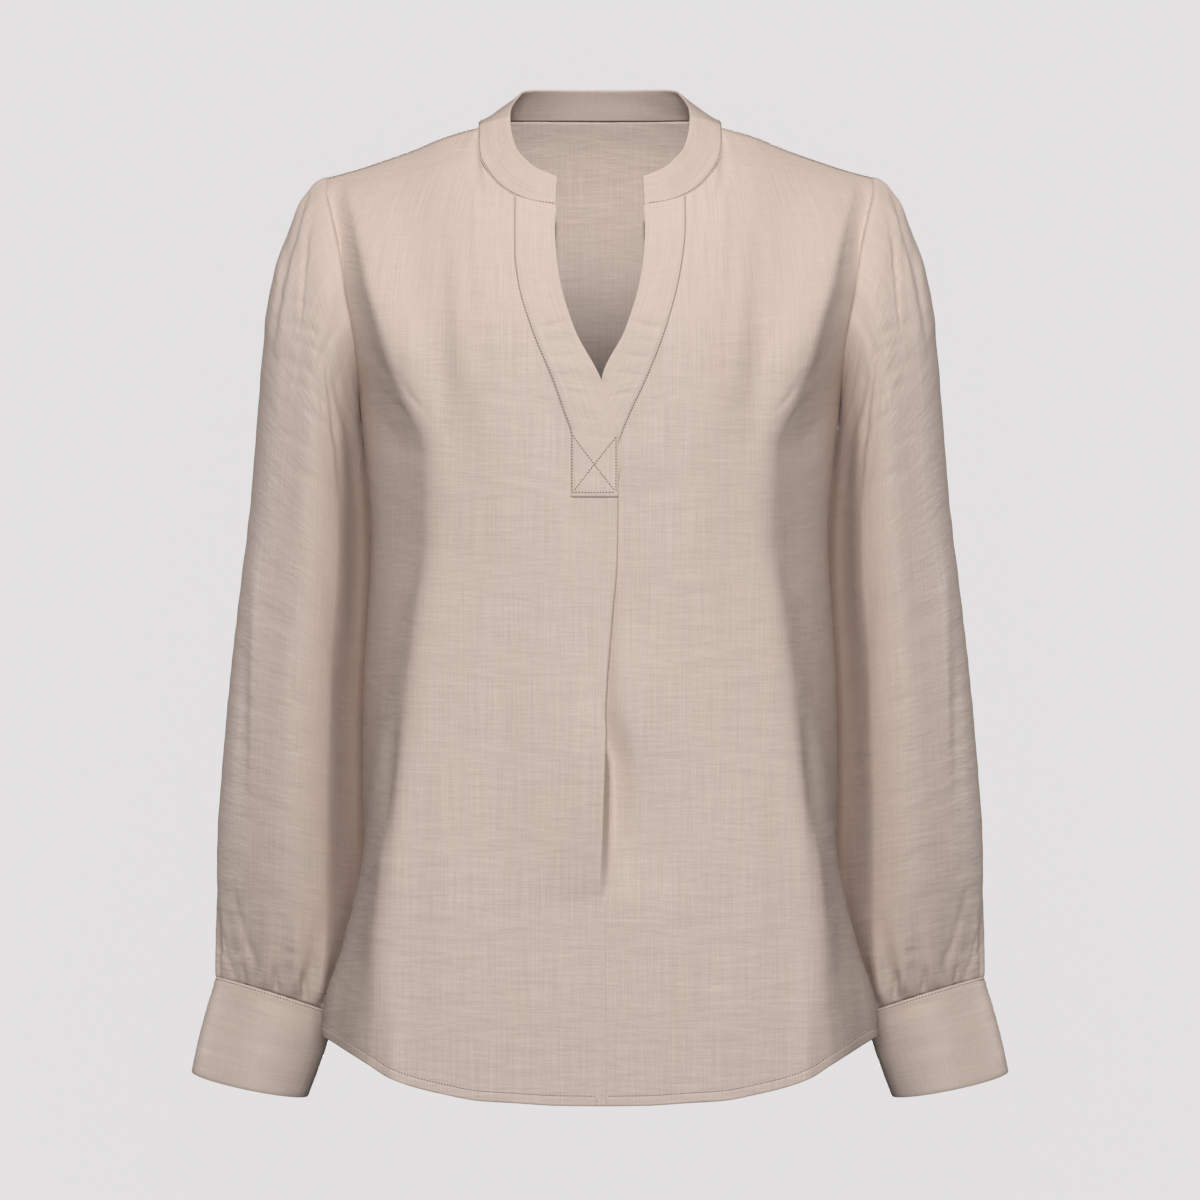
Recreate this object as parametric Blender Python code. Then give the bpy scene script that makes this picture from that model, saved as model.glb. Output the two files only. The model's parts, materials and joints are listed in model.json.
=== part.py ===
"""A long-sleeved blouse, filled out with no wearer.

Metres, +Z up, the front faces -Y, the origin is midway between the two neck points of the shoulder seams.
Each piece is a wall of cloth built from a sheet of points halfway through it, moved out and in along the
cloth's own direction and closed at its edges. Left and right are the viewer's, looking at the front.
"""

import math

import bpy
import numpy as np
from mathutils import Vector
from mathutils.bvhtree import BVHTree

WALL = 0.0010          # thickness of the body and sleeve cloth
BAND_WALL = 0.0010     # thickness of the two placket bands
STIFF_WALL = 0.0020    # thickness of the collar and the cuffs, which are two cloths and an interlining
GAP = 0.0003           # clear space at a seam and under a band
OVERLAP = 0.0014       # how far the slit's foot and the pleat sit to the viewer's right of the middle

# The trunk in plan, a row for each height. The front half runs side, dip, wide, turn, front. The back half
# runs side, back corner, back middle. Widths are half widths.
BODY_COLUMNS = ("z", "side_x", "dip_x", "dip_y", "wide_x", "wide_y",
                "turn_x", "turn_y", "front_y", "back_x", "back_y", "back_c")
BODY = (
    (-0.165, 0.1700, 0.1698, -0.012, 0.1665, -0.036, 0.1480, -0.086, -0.1055, 0.122, 0.094, 0.104),
    (-0.190, 0.1687, 0.1688, -0.014, 0.1655, -0.040, 0.1370, -0.093, -0.1080, 0.120, 0.095, 0.106),
    (-0.225, 0.1640, 0.1662, -0.018, 0.1600, -0.046, 0.1180, -0.099, -0.1105, 0.116, 0.094, 0.106),
    (-0.288, 0.1590, 0.1622, -0.020, 0.1550, -0.050, 0.1180, -0.101, -0.1130, 0.112, 0.092, 0.103),
    (-0.333, 0.1610, 0.1645, -0.020, 0.1560, -0.052, 0.1250, -0.103, -0.1140, 0.114, 0.093, 0.104),
    (-0.400, 0.1645, 0.1685, -0.020, 0.1580, -0.058, 0.1335, -0.106, -0.1160, 0.120, 0.096, 0.106),
    (-0.470, 0.1650, 0.1680, -0.022, 0.1620, -0.062, 0.1435, -0.109, -0.1180, 0.126, 0.100, 0.110),
    (-0.520, 0.1620, 0.1620, -0.022, 0.1700, -0.060, 0.1525, -0.111, -0.1190, 0.130, 0.102, 0.112),
    (-0.570, 0.1640, 0.1640, -0.022, 0.1850, -0.056, 0.1550, -0.112, -0.1200, 0.134, 0.104, 0.114),
    (-0.623, 0.1710, 0.1730, -0.020, 0.2030, -0.050, 0.1565, -0.113, -0.1210, 0.138, 0.108, 0.118),
    (-0.700, 0.1740, 0.1760, -0.020, 0.2050, -0.050, 0.1600, -0.113, -0.1210, 0.140, 0.110, 0.120),
)

# The front hem's height over its half width, from the photo.
HEM_COLUMNS = ("x", "z")
HEM = (
    (0.0, -0.6835), (0.028, -0.6832), (0.056, -0.6815), (0.084, -0.6797), (0.1065, -0.6755), (0.133, -0.6690),
    (0.147, -0.6636), (0.160, -0.6556), (0.1736, -0.6475), (0.191, -0.6375), (0.21, -0.630),
)
SIDE_HEM_Z = -0.628    # the hem at the side seam
BACK_HEM_Z = -0.680    # the back hem in the middle

# The pleat below the tab: where its edge is, how far it turns in degrees, its bend's radius, its depth, and
# the share of its rise that the left half takes.
PLEAT_COLUMNS = ("z", "edge_x", "turn", "bend", "depth", "rise")
PLEAT = (
    (-0.2400, 0.0126, 0.0, 0.0008, 0.0004, 0.3),
    (-0.2440, 0.0126, 60.0, 0.0008, 0.0004, 0.3),
    (-0.2475, 0.0126, 125.0, 0.0008, 0.0008, 0.3),
    (-0.2505, 0.0126, 170.0, 0.0008, 0.0014, 0.3),
    (-0.2545, 0.0126, 180.0, 0.0008, 0.0030, 0.3),
    (-0.2583, 0.0126, 180.0, 0.0008, 0.0048, 0.3),
    (-0.2750, 0.0124, 180.0, 0.0008, 0.0100, 0.3),
    (-0.3020, 0.0119, 177.0, 0.0009, 0.0130, 0.4),
    (-0.3440, 0.0084, 172.0, 0.0011, 0.0120, 0.4),
    (-0.4000, 0.0042, 162.0, 0.0014, 0.0080, 0.5),
    (-0.4400, 0.0030, 140.0, 0.0020, 0.0040, 0.5),
    (-0.4700, 0.0021, 105.0, 0.0030, 0.0015, 0.5),
    (-0.5000, 0.0010, 62.0, 0.0045, 0.0015, 0.5),
    (-0.5270, 0.0000, 28.0, 0.0060, 0.0020, 0.5),
    (-0.5450, 0.0000, 0.0, 0.0060, 0.0020, 0.5),
    (-0.7000, 0.0000, 0.0, 0.0060, 0.0020, 0.5),
)
PLEAT_TOP, PLEAT_FOOT = -0.2420, -0.5360
PLEAT_BEND_STEPS = 4
PLEAT_SPREAD = 0.075   # how far the pleat's step spreads into the front on each side

# Heights of the rows of the front and the back in the middle, hem first.
FRONT_LEVELS = (
    -0.6835, -0.6660, -0.6400, -0.6130, -0.5850, -0.5600, -0.5400, -0.5230, -0.5000, -0.4750, -0.4480,
    -0.4150, -0.3800, -0.3440, -0.3050, -0.2750, -0.2583, -0.2545, -0.2505, -0.2475, -0.2440, -0.2400,
    -0.2220, -0.2050, -0.1900, -0.1780,
)
BACK_LEVELS = (
    -0.6835, -0.6660, -0.6400, -0.6130, -0.5850, -0.5400, -0.5000, -0.4480, -0.3800, -0.3440, -0.3050,
    -0.2583, -0.2220, -0.1900, -0.1780,
)
CHEST_Z, UNDERARM_Z = -0.1780, -0.1900
HEM_RISE_STARTS = -0.530     # the rows start to follow the hem below this height
UNDERARM_FALL_STARTS = -0.240  # and the underarm above this one
SIDE_Y = 0.004               # depth of the side seam
SIDE_SHARES = (0.0, 0.24, 0.48, 0.72, 0.90, 1.0)
FRONT_SHARES = (0.07, 0.19, 0.30, 0.40, 0.50, 0.60, 0.70, 0.80, 0.90, 1.0)
SHOULDER_SHARES = (0.0, 0.03, 0.06, 0.09, 0.12, 0.15, 0.27, 0.50, 0.75, 1.0)
TOP_ROWS = 12

# The seams at the top of the trunk as x, y and z, each from one end to the other.
SHOULDER = (
    (0.1920, 0.002, -0.0340), (0.1757, 0.002, -0.0296), (0.1463, 0.002, -0.0200),
    (0.1330, 0.001, -0.0152), (0.1050, 0.0, -0.0040), (0.0840, 0.0, 0.0020),
)
FRONT_NECK = (
    (0.0840, 0.0, 0.0020), (0.0845, -0.0115, -0.0084), (0.0835, -0.0215, -0.0189),
    (0.0786, -0.0305, -0.0287), (0.0714, -0.0390, -0.0378), (0.0609, -0.0455, -0.0455),
    (0.0476, -0.0505, -0.0508), (0.0308, -0.0530, -0.0532),
)
BACK_NECK = (
    (0.0840, 0.0, 0.0020), (0.0838, 0.010, 0.0042), (0.0815, 0.024, 0.0058), (0.0735, 0.039, 0.0068),
    (0.0560, 0.051, 0.0070), (0.0300, 0.058, 0.0070), (0.0, 0.060, 0.0070),
)
FRONT_ARMHOLE = (
    (0.1687, 0.004, -0.1900), (0.1692, -0.018, -0.1800), (0.1705, -0.036, -0.1650),
    (0.1729, -0.049, -0.1477), (0.1757, -0.0545, -0.1330), (0.1792, -0.0545, -0.1162),
    (0.1813, -0.051, -0.0987), (0.1848, -0.043, -0.0784), (0.1890, -0.030, -0.0595),
    (0.1925, -0.012, -0.0425), (0.1920, 0.002, -0.0340),
)
BACK_ARMHOLE = (
    (0.1687, 0.004, -0.1900), (0.1705, 0.028, -0.1740), (0.1735, 0.047, -0.1480), (0.1770, 0.056, -0.1200),
    (0.1815, 0.053, -0.0900), (0.1868, 0.040, -0.0640), (0.1915, 0.020, -0.0430), (0.1920, 0.002, -0.0340),
)
SLIT_EDGE = (
    (0.0014, -0.1075, -0.1780), (0.0190, -0.1025, -0.1414), (0.0292, -0.0900, -0.1064),
    (0.0325, -0.0690, -0.0714), (0.0308, -0.0530, -0.0532),
)
SLIT_FOOT = ((0.178, OVERLAP), (0.1974, 0.0084), (0.2163, 0.0126), (0.240, 0.0126))  # way down, and x
BACK_MIDDLE = (
    (0.0, 0.1055, -0.1780), (0.0, 0.1070, -0.1400), (0.0, 0.1030, -0.0950),
    (0.0, 0.0920, -0.0500), (0.0, 0.0760, -0.0150), (0.0, 0.0600, 0.0070),
)
FRONT_ROUND, BACK_ROUND = 1.9, 2.2  # over 1 keeps the chest and the back full and rounds the shoulder over
ARMHOLE_FADE = 4.0     # how fast the armhole's dip fades across the front and the back

# The bands' edges: how far each one's outer and inner edge is from the middle at each height.
BAND_COLUMNS = ("z", "outer_x", "inner_x")
LEFT_BAND = (
    (-0.0400, -0.0602, -0.0290), (-0.0525, -0.0602, -0.0300), (-0.0714, -0.0602, -0.0315),
    (-0.0854, -0.0602, -0.0308), (-0.1064, -0.0580, -0.0280), (-0.1414, -0.0480, -0.0175),
    (-0.1764, -0.0335, 0.0014), (-0.1974, -0.0262, 0.0084), (-0.2163, -0.0203, 0.0126),
    (-0.2583, -0.0203, 0.0126),
)
RIGHT_BAND = (
    (-0.0400, 0.0602, 0.0290), (-0.0525, 0.0602, 0.0300), (-0.0714, 0.0602, 0.0315),
    (-0.0854, 0.0590, 0.0308), (-0.1064, 0.0555, 0.0280), (-0.1414, 0.0460, 0.0175),
    (-0.1764, 0.0325, -0.0020), (-0.1974, 0.0225, 0.0004), (-0.2135, 0.0155, 0.0026),
    (-0.2230, 0.0122, 0.0030),
)
BAND_TOP = (-0.0470, -0.0545)  # height of both bands' top at their outer and inner edge
LEFT_BAND_FOOT, RIGHT_BAND_FOOT = -0.2583, -0.2230
BAND_ACROSS, BAND_DOWN = 4, 17
BAND_CLEAR = 0.0002            # spare room under a band, where it spans the front's flat faces
RAISE_FROM, RAISE_TO = -0.148, -0.170  # the left band climbs over the right one between these heights
TAB_TIP_LIFT = 0.0006          # how far the tab's tip stands out over the pleat
TAB_BASE_Z = -0.2380           # the tab hangs straight below this height
CAST_INWARD = (0.0, 0.0028, 0.0045, 0.0065, 0.0090, 0.0120)  # ways in from the slit to read the front

# The collar's top edge, front end to middle back, and the seam at its foot, which is the neckline.
COLLAR_TOP_FRONT = (
    (0.0628, -0.003, 0.00875), (0.0624, -0.0105, 0.0021), (0.0609, -0.0195, -0.0060),
    (0.0588, -0.0265, -0.0126), (0.0554, -0.0325, -0.0180), (0.0514, -0.0370, -0.0221),
    (0.0462, -0.0410, -0.0266), (0.0394, -0.0440, -0.0301), (0.0298, -0.0458, -0.0338),
)
COLLAR_TOP_BACK = (
    (0.0628, -0.003, 0.00875), (0.0622, 0.006, 0.0141), (0.0602, 0.0145, 0.0189), (0.0571, 0.0225, 0.0235),
    (0.0534, 0.0295, 0.0268), (0.0450, 0.0375, 0.0278), (0.0300, 0.0455, 0.0280), (0.0150, 0.0492, 0.0280),
    (0.0, 0.0502, 0.0280),
)
COLLAR_FRONT_STEPS, COLLAR_BACK_STEPS, COLLAR_ROWS = 9, 7, 3

# The sleeve's rings from the armhole to the cuff: the outer and the inner point, how far forward and back each
# goes, how far it tucks in behind the trunk, and the height of its gathers.
SLEEVE_COLUMNS = ("ring", "outer_x", "outer_z", "inner_x", "inner_z", "front_y", "back_y", "tuck", "gather")
SLEEVE = (
    (0, 0.1930, -0.0345, 0.1702, -0.1900, -0.0545, 0.0560, 0.0, 0.0),
    (1, 0.2010, -0.0382, 0.1714, -0.1950, -0.0575, 0.0590, 0.0030, 0.0007),
    (2, 0.2100, -0.0488, 0.1720, -0.2015, -0.0600, 0.0625, 0.0060, 0.0006),
    (3, 0.2173, -0.0655, 0.1722, -0.2090, -0.0615, 0.0665, 0.0080, 0.0),
    (4, 0.2257, -0.0890, 0.1716, -0.2190, -0.0620, 0.0710, 0.0100, 0.0),
    (5, 0.2325, -0.1180, 0.1702, -0.2310, -0.0610, 0.0760, 0.0110, 0.0),
    (6, 0.2367, -0.1580, 0.1697, -0.2500, -0.0590, 0.0820, 0.0120, 0.0),
    (7, 0.2408, -0.2080, 0.1687, -0.2780, -0.0550, 0.0880, 0.0130, 0.0),
    (8, 0.2455, -0.2650, 0.1680, -0.3150, -0.0500, 0.0930, 0.0130, 0.0),
    (9, 0.2528, -0.3250, 0.1695, -0.3610, -0.0440, 0.0970, 0.0120, 0.0),
    (10, 0.2596, -0.3850, 0.1715, -0.4130, -0.0380, 0.0990, 0.0110, 0.0),
    (11, 0.2650, -0.4450, 0.1725, -0.4690, -0.0300, 0.0990, 0.0100, 0.0),
    (12, 0.2688, -0.5000, 0.1720, -0.5220, -0.0200, 0.0970, 0.0090, 0.0),
    (13, 0.2690, -0.5400, 0.1725, -0.5590, -0.0100, 0.0930, 0.0070, 0.0),
    (14, 0.2686, -0.5640, 0.1750, -0.5840, -0.0020, 0.0890, 0.0050, 0.0014),
    (15, 0.2680, -0.5810, 0.1790, -0.6030, 0.0050, 0.0845, 0.0030, 0.0024),
    (16, 0.2685, -0.5910, 0.1825, -0.6150, 0.0100, 0.0810, 0.0010, 0.0020),
    (17, 0.2694, -0.5966, 0.1866, -0.6228, 0.0145, 0.0780, 0.0, 0.0007),
)
TUCK_AT = 228.0            # degrees round to where it tucks in, from its outer side by way of the front
SLEEVE_POINTS = 4 * TOP_ROWS  # round the sleeve where it is gathered, half as many between
FINE_ABOVE, FINE_BELOW = 3, 13
ARMHOLE_BLEND = 6          # the ring by which the armhole's own shape has faded out
CUFF_TILT = 0.0020         # how much higher the cuff's seam is in front than at its sides
GATHERS = 14               # waves round the wrist
CAP_REACH = 75.0           # degrees each side of the shoulder over which the cap is gathered

CUFF_COLUMNS = ("ring", "outer_x", "outer_z", "inner_x", "inner_z", "front_y", "back_y", "tilt")
CUFF = (
    (0, 0.2694, -0.5972, 0.1864, -0.6234, 0.0145, 0.0780, 0.0020),
    (1, 0.2762, -0.6190, 0.1930, -0.6430, 0.0140, 0.0785, 0.0),
    (2, 0.2820, -0.6410, 0.1993, -0.6610, 0.0135, 0.0790, -0.0020),
    (3, 0.2866, -0.6625, 0.2060, -0.6790, 0.0130, 0.0795, -0.0040),
)
CUFF_POINTS = 28

CLOTH_COLOUR = (0.62, 0.50, 0.43, 1.0)


def smooth_at(keys, values, where):
    """Cubic interpolation that never overshoots its rows. The keys go up."""
    keys = np.asarray(keys, float)
    values = np.asarray(values, float)
    step = np.diff(keys)
    slope = np.diff(values) / step
    tangent = np.zeros(len(keys))
    tangent[0] = slope[0]
    tangent[-1] = slope[-1]
    for i in range(1, len(keys) - 1):
        if slope[i - 1] * slope[i] > 0:
            before = 2 * step[i] + step[i - 1]
            after = step[i] + 2 * step[i - 1]
            tangent[i] = (before + after) / (before / slope[i - 1] + after / slope[i])
    where = np.clip(where, keys[0], keys[-1])
    i = np.clip(np.searchsorted(keys, where) - 1, 0, len(step) - 1)
    t = (where - keys[i]) / step[i]
    start = (1 + 2 * t) * (1 - t) ** 2 * values[i] + t * (1 - t) ** 2 * step[i] * tangent[i]
    end = t * t * (3 - 2 * t) * values[i + 1] - t * t * (1 - t) * step[i] * tangent[i + 1]
    return start + end


def read(columns, table, name, key):
    """The named column of a table at a key in its first column."""
    rows = sorted(table)
    place = columns.index(name)
    return smooth_at([r[0] for r in rows], [r[place] for r in rows], key)


def ease(value, start, end):
    """0 at start, 1 at end, with no corner at either."""
    t = np.clip((value - start) / (end - start), 0.0, 1.0)
    return t * t * (3 - 2 * t)


def lengths(points):
    """How far along the line each of its points is, in shares of its length."""
    steps = np.linalg.norm(np.diff(points, axis=0), axis=1)
    along = np.concatenate([[0.0], np.cumsum(steps)])
    return along / along[-1]


def along_seam(seam, shares):
    """Points of a seam at the given shares of its length, on a smooth line through its rows."""
    points = np.asarray(seam, float)
    keys = lengths(points)
    fine = np.linspace(0, 1, 121)
    line = np.stack([smooth_at(keys, points[:, i], fine) for i in range(3)], axis=1)
    fine_keys = lengths(line)
    return np.stack([np.interp(shares, fine_keys, line[:, i]) for i in range(3)], axis=1)


def soft_line(points, steps=7):
    """A line through the middles of a polygon's sides, rounded at each corner, with both its ends."""
    points = np.asarray(points, float)
    line = [points[0]]
    start = points[0]
    for i in range(1, len(points) - 1):
        end = points[i + 1] if i == len(points) - 2 else (points[i] + points[i + 1]) / 2
        for k in range(1, steps + 1):
            t = k / steps
            line.append((1 - t) ** 2 * start + 2 * t * (1 - t) * points[i] + t * t * end)
        start = end
    return np.array(line)


def towards(start, end, distance):
    """The point this far from start on the way to end."""
    start = np.asarray(start, float)
    end = np.asarray(end, float)
    return start + (end - start) * distance / np.linalg.norm(end - start)


def front_half(z):
    """Half of the front in plan, from the side seam past the middle, and the length at its turn."""
    r = {name: read(BODY_COLUMNS, BODY, name, z) for name in BODY_COLUMNS[1:]}
    side = (r["side_x"], SIDE_Y)
    dip = (r["dip_x"], r["dip_y"])
    wide = (r["wide_x"], r["wide_y"])
    turn = (r["turn_x"], r["turn_y"])
    flat = (r["turn_x"] * 0.5, r["front_y"])
    middle = (0.0, r["front_y"])
    inner = towards(turn, flat, 0.030)
    line = soft_line([side, dip, wide, towards(turn, wide, 0.016), turn, inner, flat, middle])
    past = line[line[:, 0] < 0.040][:-1][::-1] * np.array([-1.0, 1.0])
    line = np.concatenate([line, past])
    along = np.concatenate([[0.0], np.cumsum(np.linalg.norm(np.diff(line, axis=0), axis=1))])
    at_turn = along[np.argmin(np.linalg.norm(line - np.array(turn), axis=1))]
    return line, along, at_turn


def back_half(z):
    """Half of the back in plan, from the side seam to the middle, and the length at its corner."""
    r = {name: read(BODY_COLUMNS, BODY, name, z) for name in BODY_COLUMNS[1:]}
    side = (r["side_x"], SIDE_Y)
    near = (r["side_x"] - 0.0030, 0.022)
    corner = (r["back_x"], r["back_y"])
    flat = (r["back_x"] * 0.5, r["back_c"])
    middle = (0.0, r["back_c"])
    outer, inner = towards(corner, near, 0.034), towards(corner, flat, 0.03)
    line = soft_line([side, near, outer, corner, inner, flat, middle])
    along = np.concatenate([[0.0], np.cumsum(np.linalg.norm(np.diff(line, axis=0), axis=1))])
    at_corner = along[np.argmin(np.linalg.norm(line - np.array(corner), axis=1))]
    return line, along, at_corner


def half_point(half, z, column, end_x):
    """The plan point of one column of a half at a height. end_x is where the half's last column stands."""
    line, along, at_turn = half(z)
    if column < len(SIDE_SHARES):
        at = at_turn * SIDE_SHARES[column]
    else:
        first = np.argmax(along >= at_turn)
        at_end = np.interp(-end_x, -line[first:, 0], along[first:])
        at = at_turn + (at_end - at_turn) * FRONT_SHARES[column - len(SIDE_SHARES)]
    return np.array([np.interp(at, along, line[:, 0]), np.interp(at, along, line[:, 1])])


def hem_height(half, column):
    """The height of the hem at one column of a half of the front or the back."""
    x, y = half_point(half, -0.650, column, 0.0)
    if half is back_half:
        return SIDE_HEM_Z + (BACK_HEM_Z - SIDE_HEM_Z) * (1 - min(x / 0.1785, 1.0) ** 2.6)
    wide_y = read(BODY_COLUMNS, BODY, "wide_y", -0.650)
    at_wide = read(HEM_COLUMNS, HEM, "z", 0.195)
    if y > wide_y:
        return at_wide + (SIDE_HEM_Z - at_wide) * ease(y, wide_y, SIDE_Y)
    return read(HEM_COLUMNS, HEM, "z", x)


def row_height(level, hem_z, share):
    """The height of a point: rows are level in the middle, follow the hem below and the underarm above."""
    low = np.clip((HEM_RISE_STARTS - level) / (HEM_RISE_STARTS - FRONT_LEVELS[0]), 0.0, 1.0)
    high = np.clip((level - UNDERARM_FALL_STARTS) / (CHEST_Z - UNDERARM_FALL_STARTS), 0.0, 1.0)
    return level + (hem_z - FRONT_LEVELS[0]) * low ** 1.2 + (UNDERARM_Z - CHEST_Z) * (1 - share) * high


def pleat_row(z):
    """The pleat's plan points at a height, from the left half's edge to the right one's, and both shifts."""
    r = {name: float(read(PLEAT_COLUMNS, PLEAT, name, z)) for name in PLEAT_COLUMNS[1:]}
    turn = math.radians(r["turn"])
    bend, depth = r["bend"], r["depth"]
    rise = 2 * bend * (1 - math.cos(turn)) + depth * math.sin(turn)
    points = []
    for k in range(PLEAT_BEND_STEPS + 1):
        a = turn * k / PLEAT_BEND_STEPS
        points.append((bend * math.sin(a), bend * (1 - math.cos(a))))
    x = points[-1][0] + depth * math.cos(turn)
    y = points[-1][1] + depth * math.sin(turn)
    for k in range(PLEAT_BEND_STEPS + 1):
        a = turn * (1 - k / PLEAT_BEND_STEPS)
        points.append((x + bend * (math.sin(turn) - math.sin(a)), y + bend * (math.cos(a) - math.cos(turn))))
    points = np.array(points)
    start_x = r["edge_x"] - points[:, 0].max()
    left = -rise * r["rise"]
    right = rise + left
    return points + np.array([start_x, 0.0]), left, right


def slit_x(z):
    """Where the middle of the front stands at a height: the slit's foot above, the pleat's edge below."""
    return np.interp(-z, *zip(*SLIT_FOOT))


def front_ripple(x, z):
    """How far the front's soft folds move its cloth out at a point of the trunk."""
    fade = ease(-z, 0.060, 0.110) * (1 - ease(-z, 0.190, 0.250))
    valley = -0.0022 * math.exp(-((x - 0.108) / 0.012) ** 2) * fade
    flute = 0.0016 * math.cos((x - 0.172) * 2 * math.pi / 0.030)
    return valley + flute * ease(-z, 0.590, 0.660) * ease(x, 0.120, 0.150)


def back_ripple(x, z):
    """How far the back's soft folds move its cloth out."""
    return 0.0040 * math.cos(x * 2 * math.pi / 0.110) * ease(-z, 0.330, 0.620) * (1 - ease(x, 0.120, 0.165))


def lower_half(half, levels, side, ends, shifts, ripple):
    """Rows of points of half the trunk below the chest, hem first. side is 1 for the viewer's right."""
    count = len(SIDE_SHARES) + len(FRONT_SHARES)
    out = 1.0 if half is back_half else -1.0
    hem = [hem_height(half, c) for c in range(count)]
    rows = []
    for level, end_x, shift in zip(levels, ends, shifts):
        row = []
        for c in range(count):
            line_share = 0.0 if c == 0 else min(1.0, 0.15 + 0.85 * c / (count - 1))
            z = row_height(level, hem[c], line_share)
            x, y = half_point(half, z, c, side * end_x)
            y += out * ripple(abs(x), z)
            if c >= len(SIDE_SHARES):
                y += shift * (1 - ease(abs(side * x - end_x), 0.0, PLEAT_SPREAD))
            row.append((side * x, y, z))
        rows.append(row)
    return np.array(rows)


def upper_half(chest, shoulder, neck, armhole, inner, rounding):
    """Rows from the chest to the shoulder and the neckline, a patch that meets its four edges exactly."""
    shoulder_points = along_seam(shoulder, np.array(SHOULDER_SHARES))
    neck_steps = len(chest) - len(SHOULDER_SHARES)
    neck_points = along_seam(neck, np.arange(1, neck_steps + 1) / neck_steps)
    top = np.concatenate([shoulder_points, neck_points])
    share = np.arange(TOP_ROWS + 1) / TOP_ROWS
    left = along_seam(armhole, share)
    right = along_seam(inner, share)
    left[0] = chest[0]
    right[0] = chest[-1]
    u = np.repeat(lengths(chest)[:, None], 3, axis=1)
    u[:, 1] = 1 - (1 - u[:, 1]) ** ARMHOLE_FADE
    u = u[None, :, :]
    w = np.repeat(share[:, None], 3, axis=1)
    w[:, 1] = share ** rounding
    w = w[:, None, :]
    ends = (1 - u) * left[:, None] + u * right[:, None]
    sides = (1 - w) * chest[None] + w * top[None]
    low_corners = (1 - w) * ((1 - u) * chest[0] + u * chest[-1])
    high_corners = w * ((1 - u) * top[0] + u * top[-1])
    return ends + sides - low_corners - high_corners


def mirrored(seam):
    """The same seam on the viewer's left."""
    return tuple((-x, y, z) for x, y, z in seam)


def grid_faces(index, closed=False):
    """Faces between the rows of an index grid, narrowed or left out where neighbours share an index."""
    faces = []
    rows, columns = index.shape
    for r in range(rows - 1):
        for c in range(columns if closed else columns - 1):
            d = (c + 1) % columns
            corners = [index[r, c], index[r, d], index[r + 1, d], index[r + 1, c]]
            face = [v for i, v in enumerate(corners) if v >= 0 and v != corners[i - 1]]
            if len(face) >= 3 and min(corners) >= 0 and len(set(face)) == len(face):
                faces.append(tuple(int(v) for v in face))
    return faces


def directions(points, faces):
    """The cloth's outward direction at each point, from the faces round it."""
    total = np.zeros_like(points)
    for face in faces:
        p = points[list(face)]
        normal = np.zeros(3)
        for i in range(1, len(face) - 1):
            normal += np.cross(p[i] - p[0], p[i + 1] - p[0])
        size = np.linalg.norm(normal)
        if size > 0:
            weight = size ** 0.5
            for v in face:
                total[v] += normal / size * weight
    return total / np.maximum(np.linalg.norm(total, axis=1), 1e-12)[:, None]


def wall(points, faces, out, thickness):
    """A closed wall: the sheet moved half its thickness out and in, joined along every open edge."""
    used = sorted({v for face in faces for v in face})
    renumber = {v: i for i, v in enumerate(used)}
    outer = (points + out * thickness / 2)[used]
    inner = (points - out * thickness / 2)[used]
    shift = len(used)
    solid = []
    for face in faces:
        a = tuple(renumber[v] for v in face)
        if len(a) == 3:
            solid.append(a)
            continue
        one_way = np.linalg.norm(outer[a[0]] - outer[a[2]])
        other_way = np.linalg.norm(outer[a[1]] - outer[a[3]])
        if one_way <= other_way:
            solid += [(a[0], a[1], a[2]), (a[0], a[2], a[3])]
        else:
            solid += [(a[0], a[1], a[3]), (a[1], a[2], a[3])]
    edges = {}
    for face in solid:
        for a, b in zip(face, face[1:] + face[:1]):
            edges[(a, b)] = True
    both = list(solid) + [tuple(v + shift for v in reversed(face)) for face in solid]
    both += [(b, a, a + shift, b + shift) for a, b in edges if (b, a) not in edges]
    return np.concatenate([outer, inner]), both


def add_object(name, points, faces, material, collection):
    """One named object from its points and faces."""
    mesh = bpy.data.meshes.new(name)
    mesh.from_pydata([tuple(map(float, p)) for p in points], [], faces)
    mesh.validate()
    for polygon in mesh.polygons:
        polygon.use_smooth = True
    mesh.materials.append(material)
    obj = bpy.data.objects.new(name, mesh)
    collection.objects.link(obj)
    return obj


def cloth_material(name, colour):
    """A plain cloth material."""
    material = bpy.data.materials.new(name)
    material.use_nodes = True
    shader = material.node_tree.nodes["Principled BSDF"]
    shader.inputs["Base Color"].default_value = colour
    shader.inputs["Roughness"].default_value = 0.6
    return material


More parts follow.
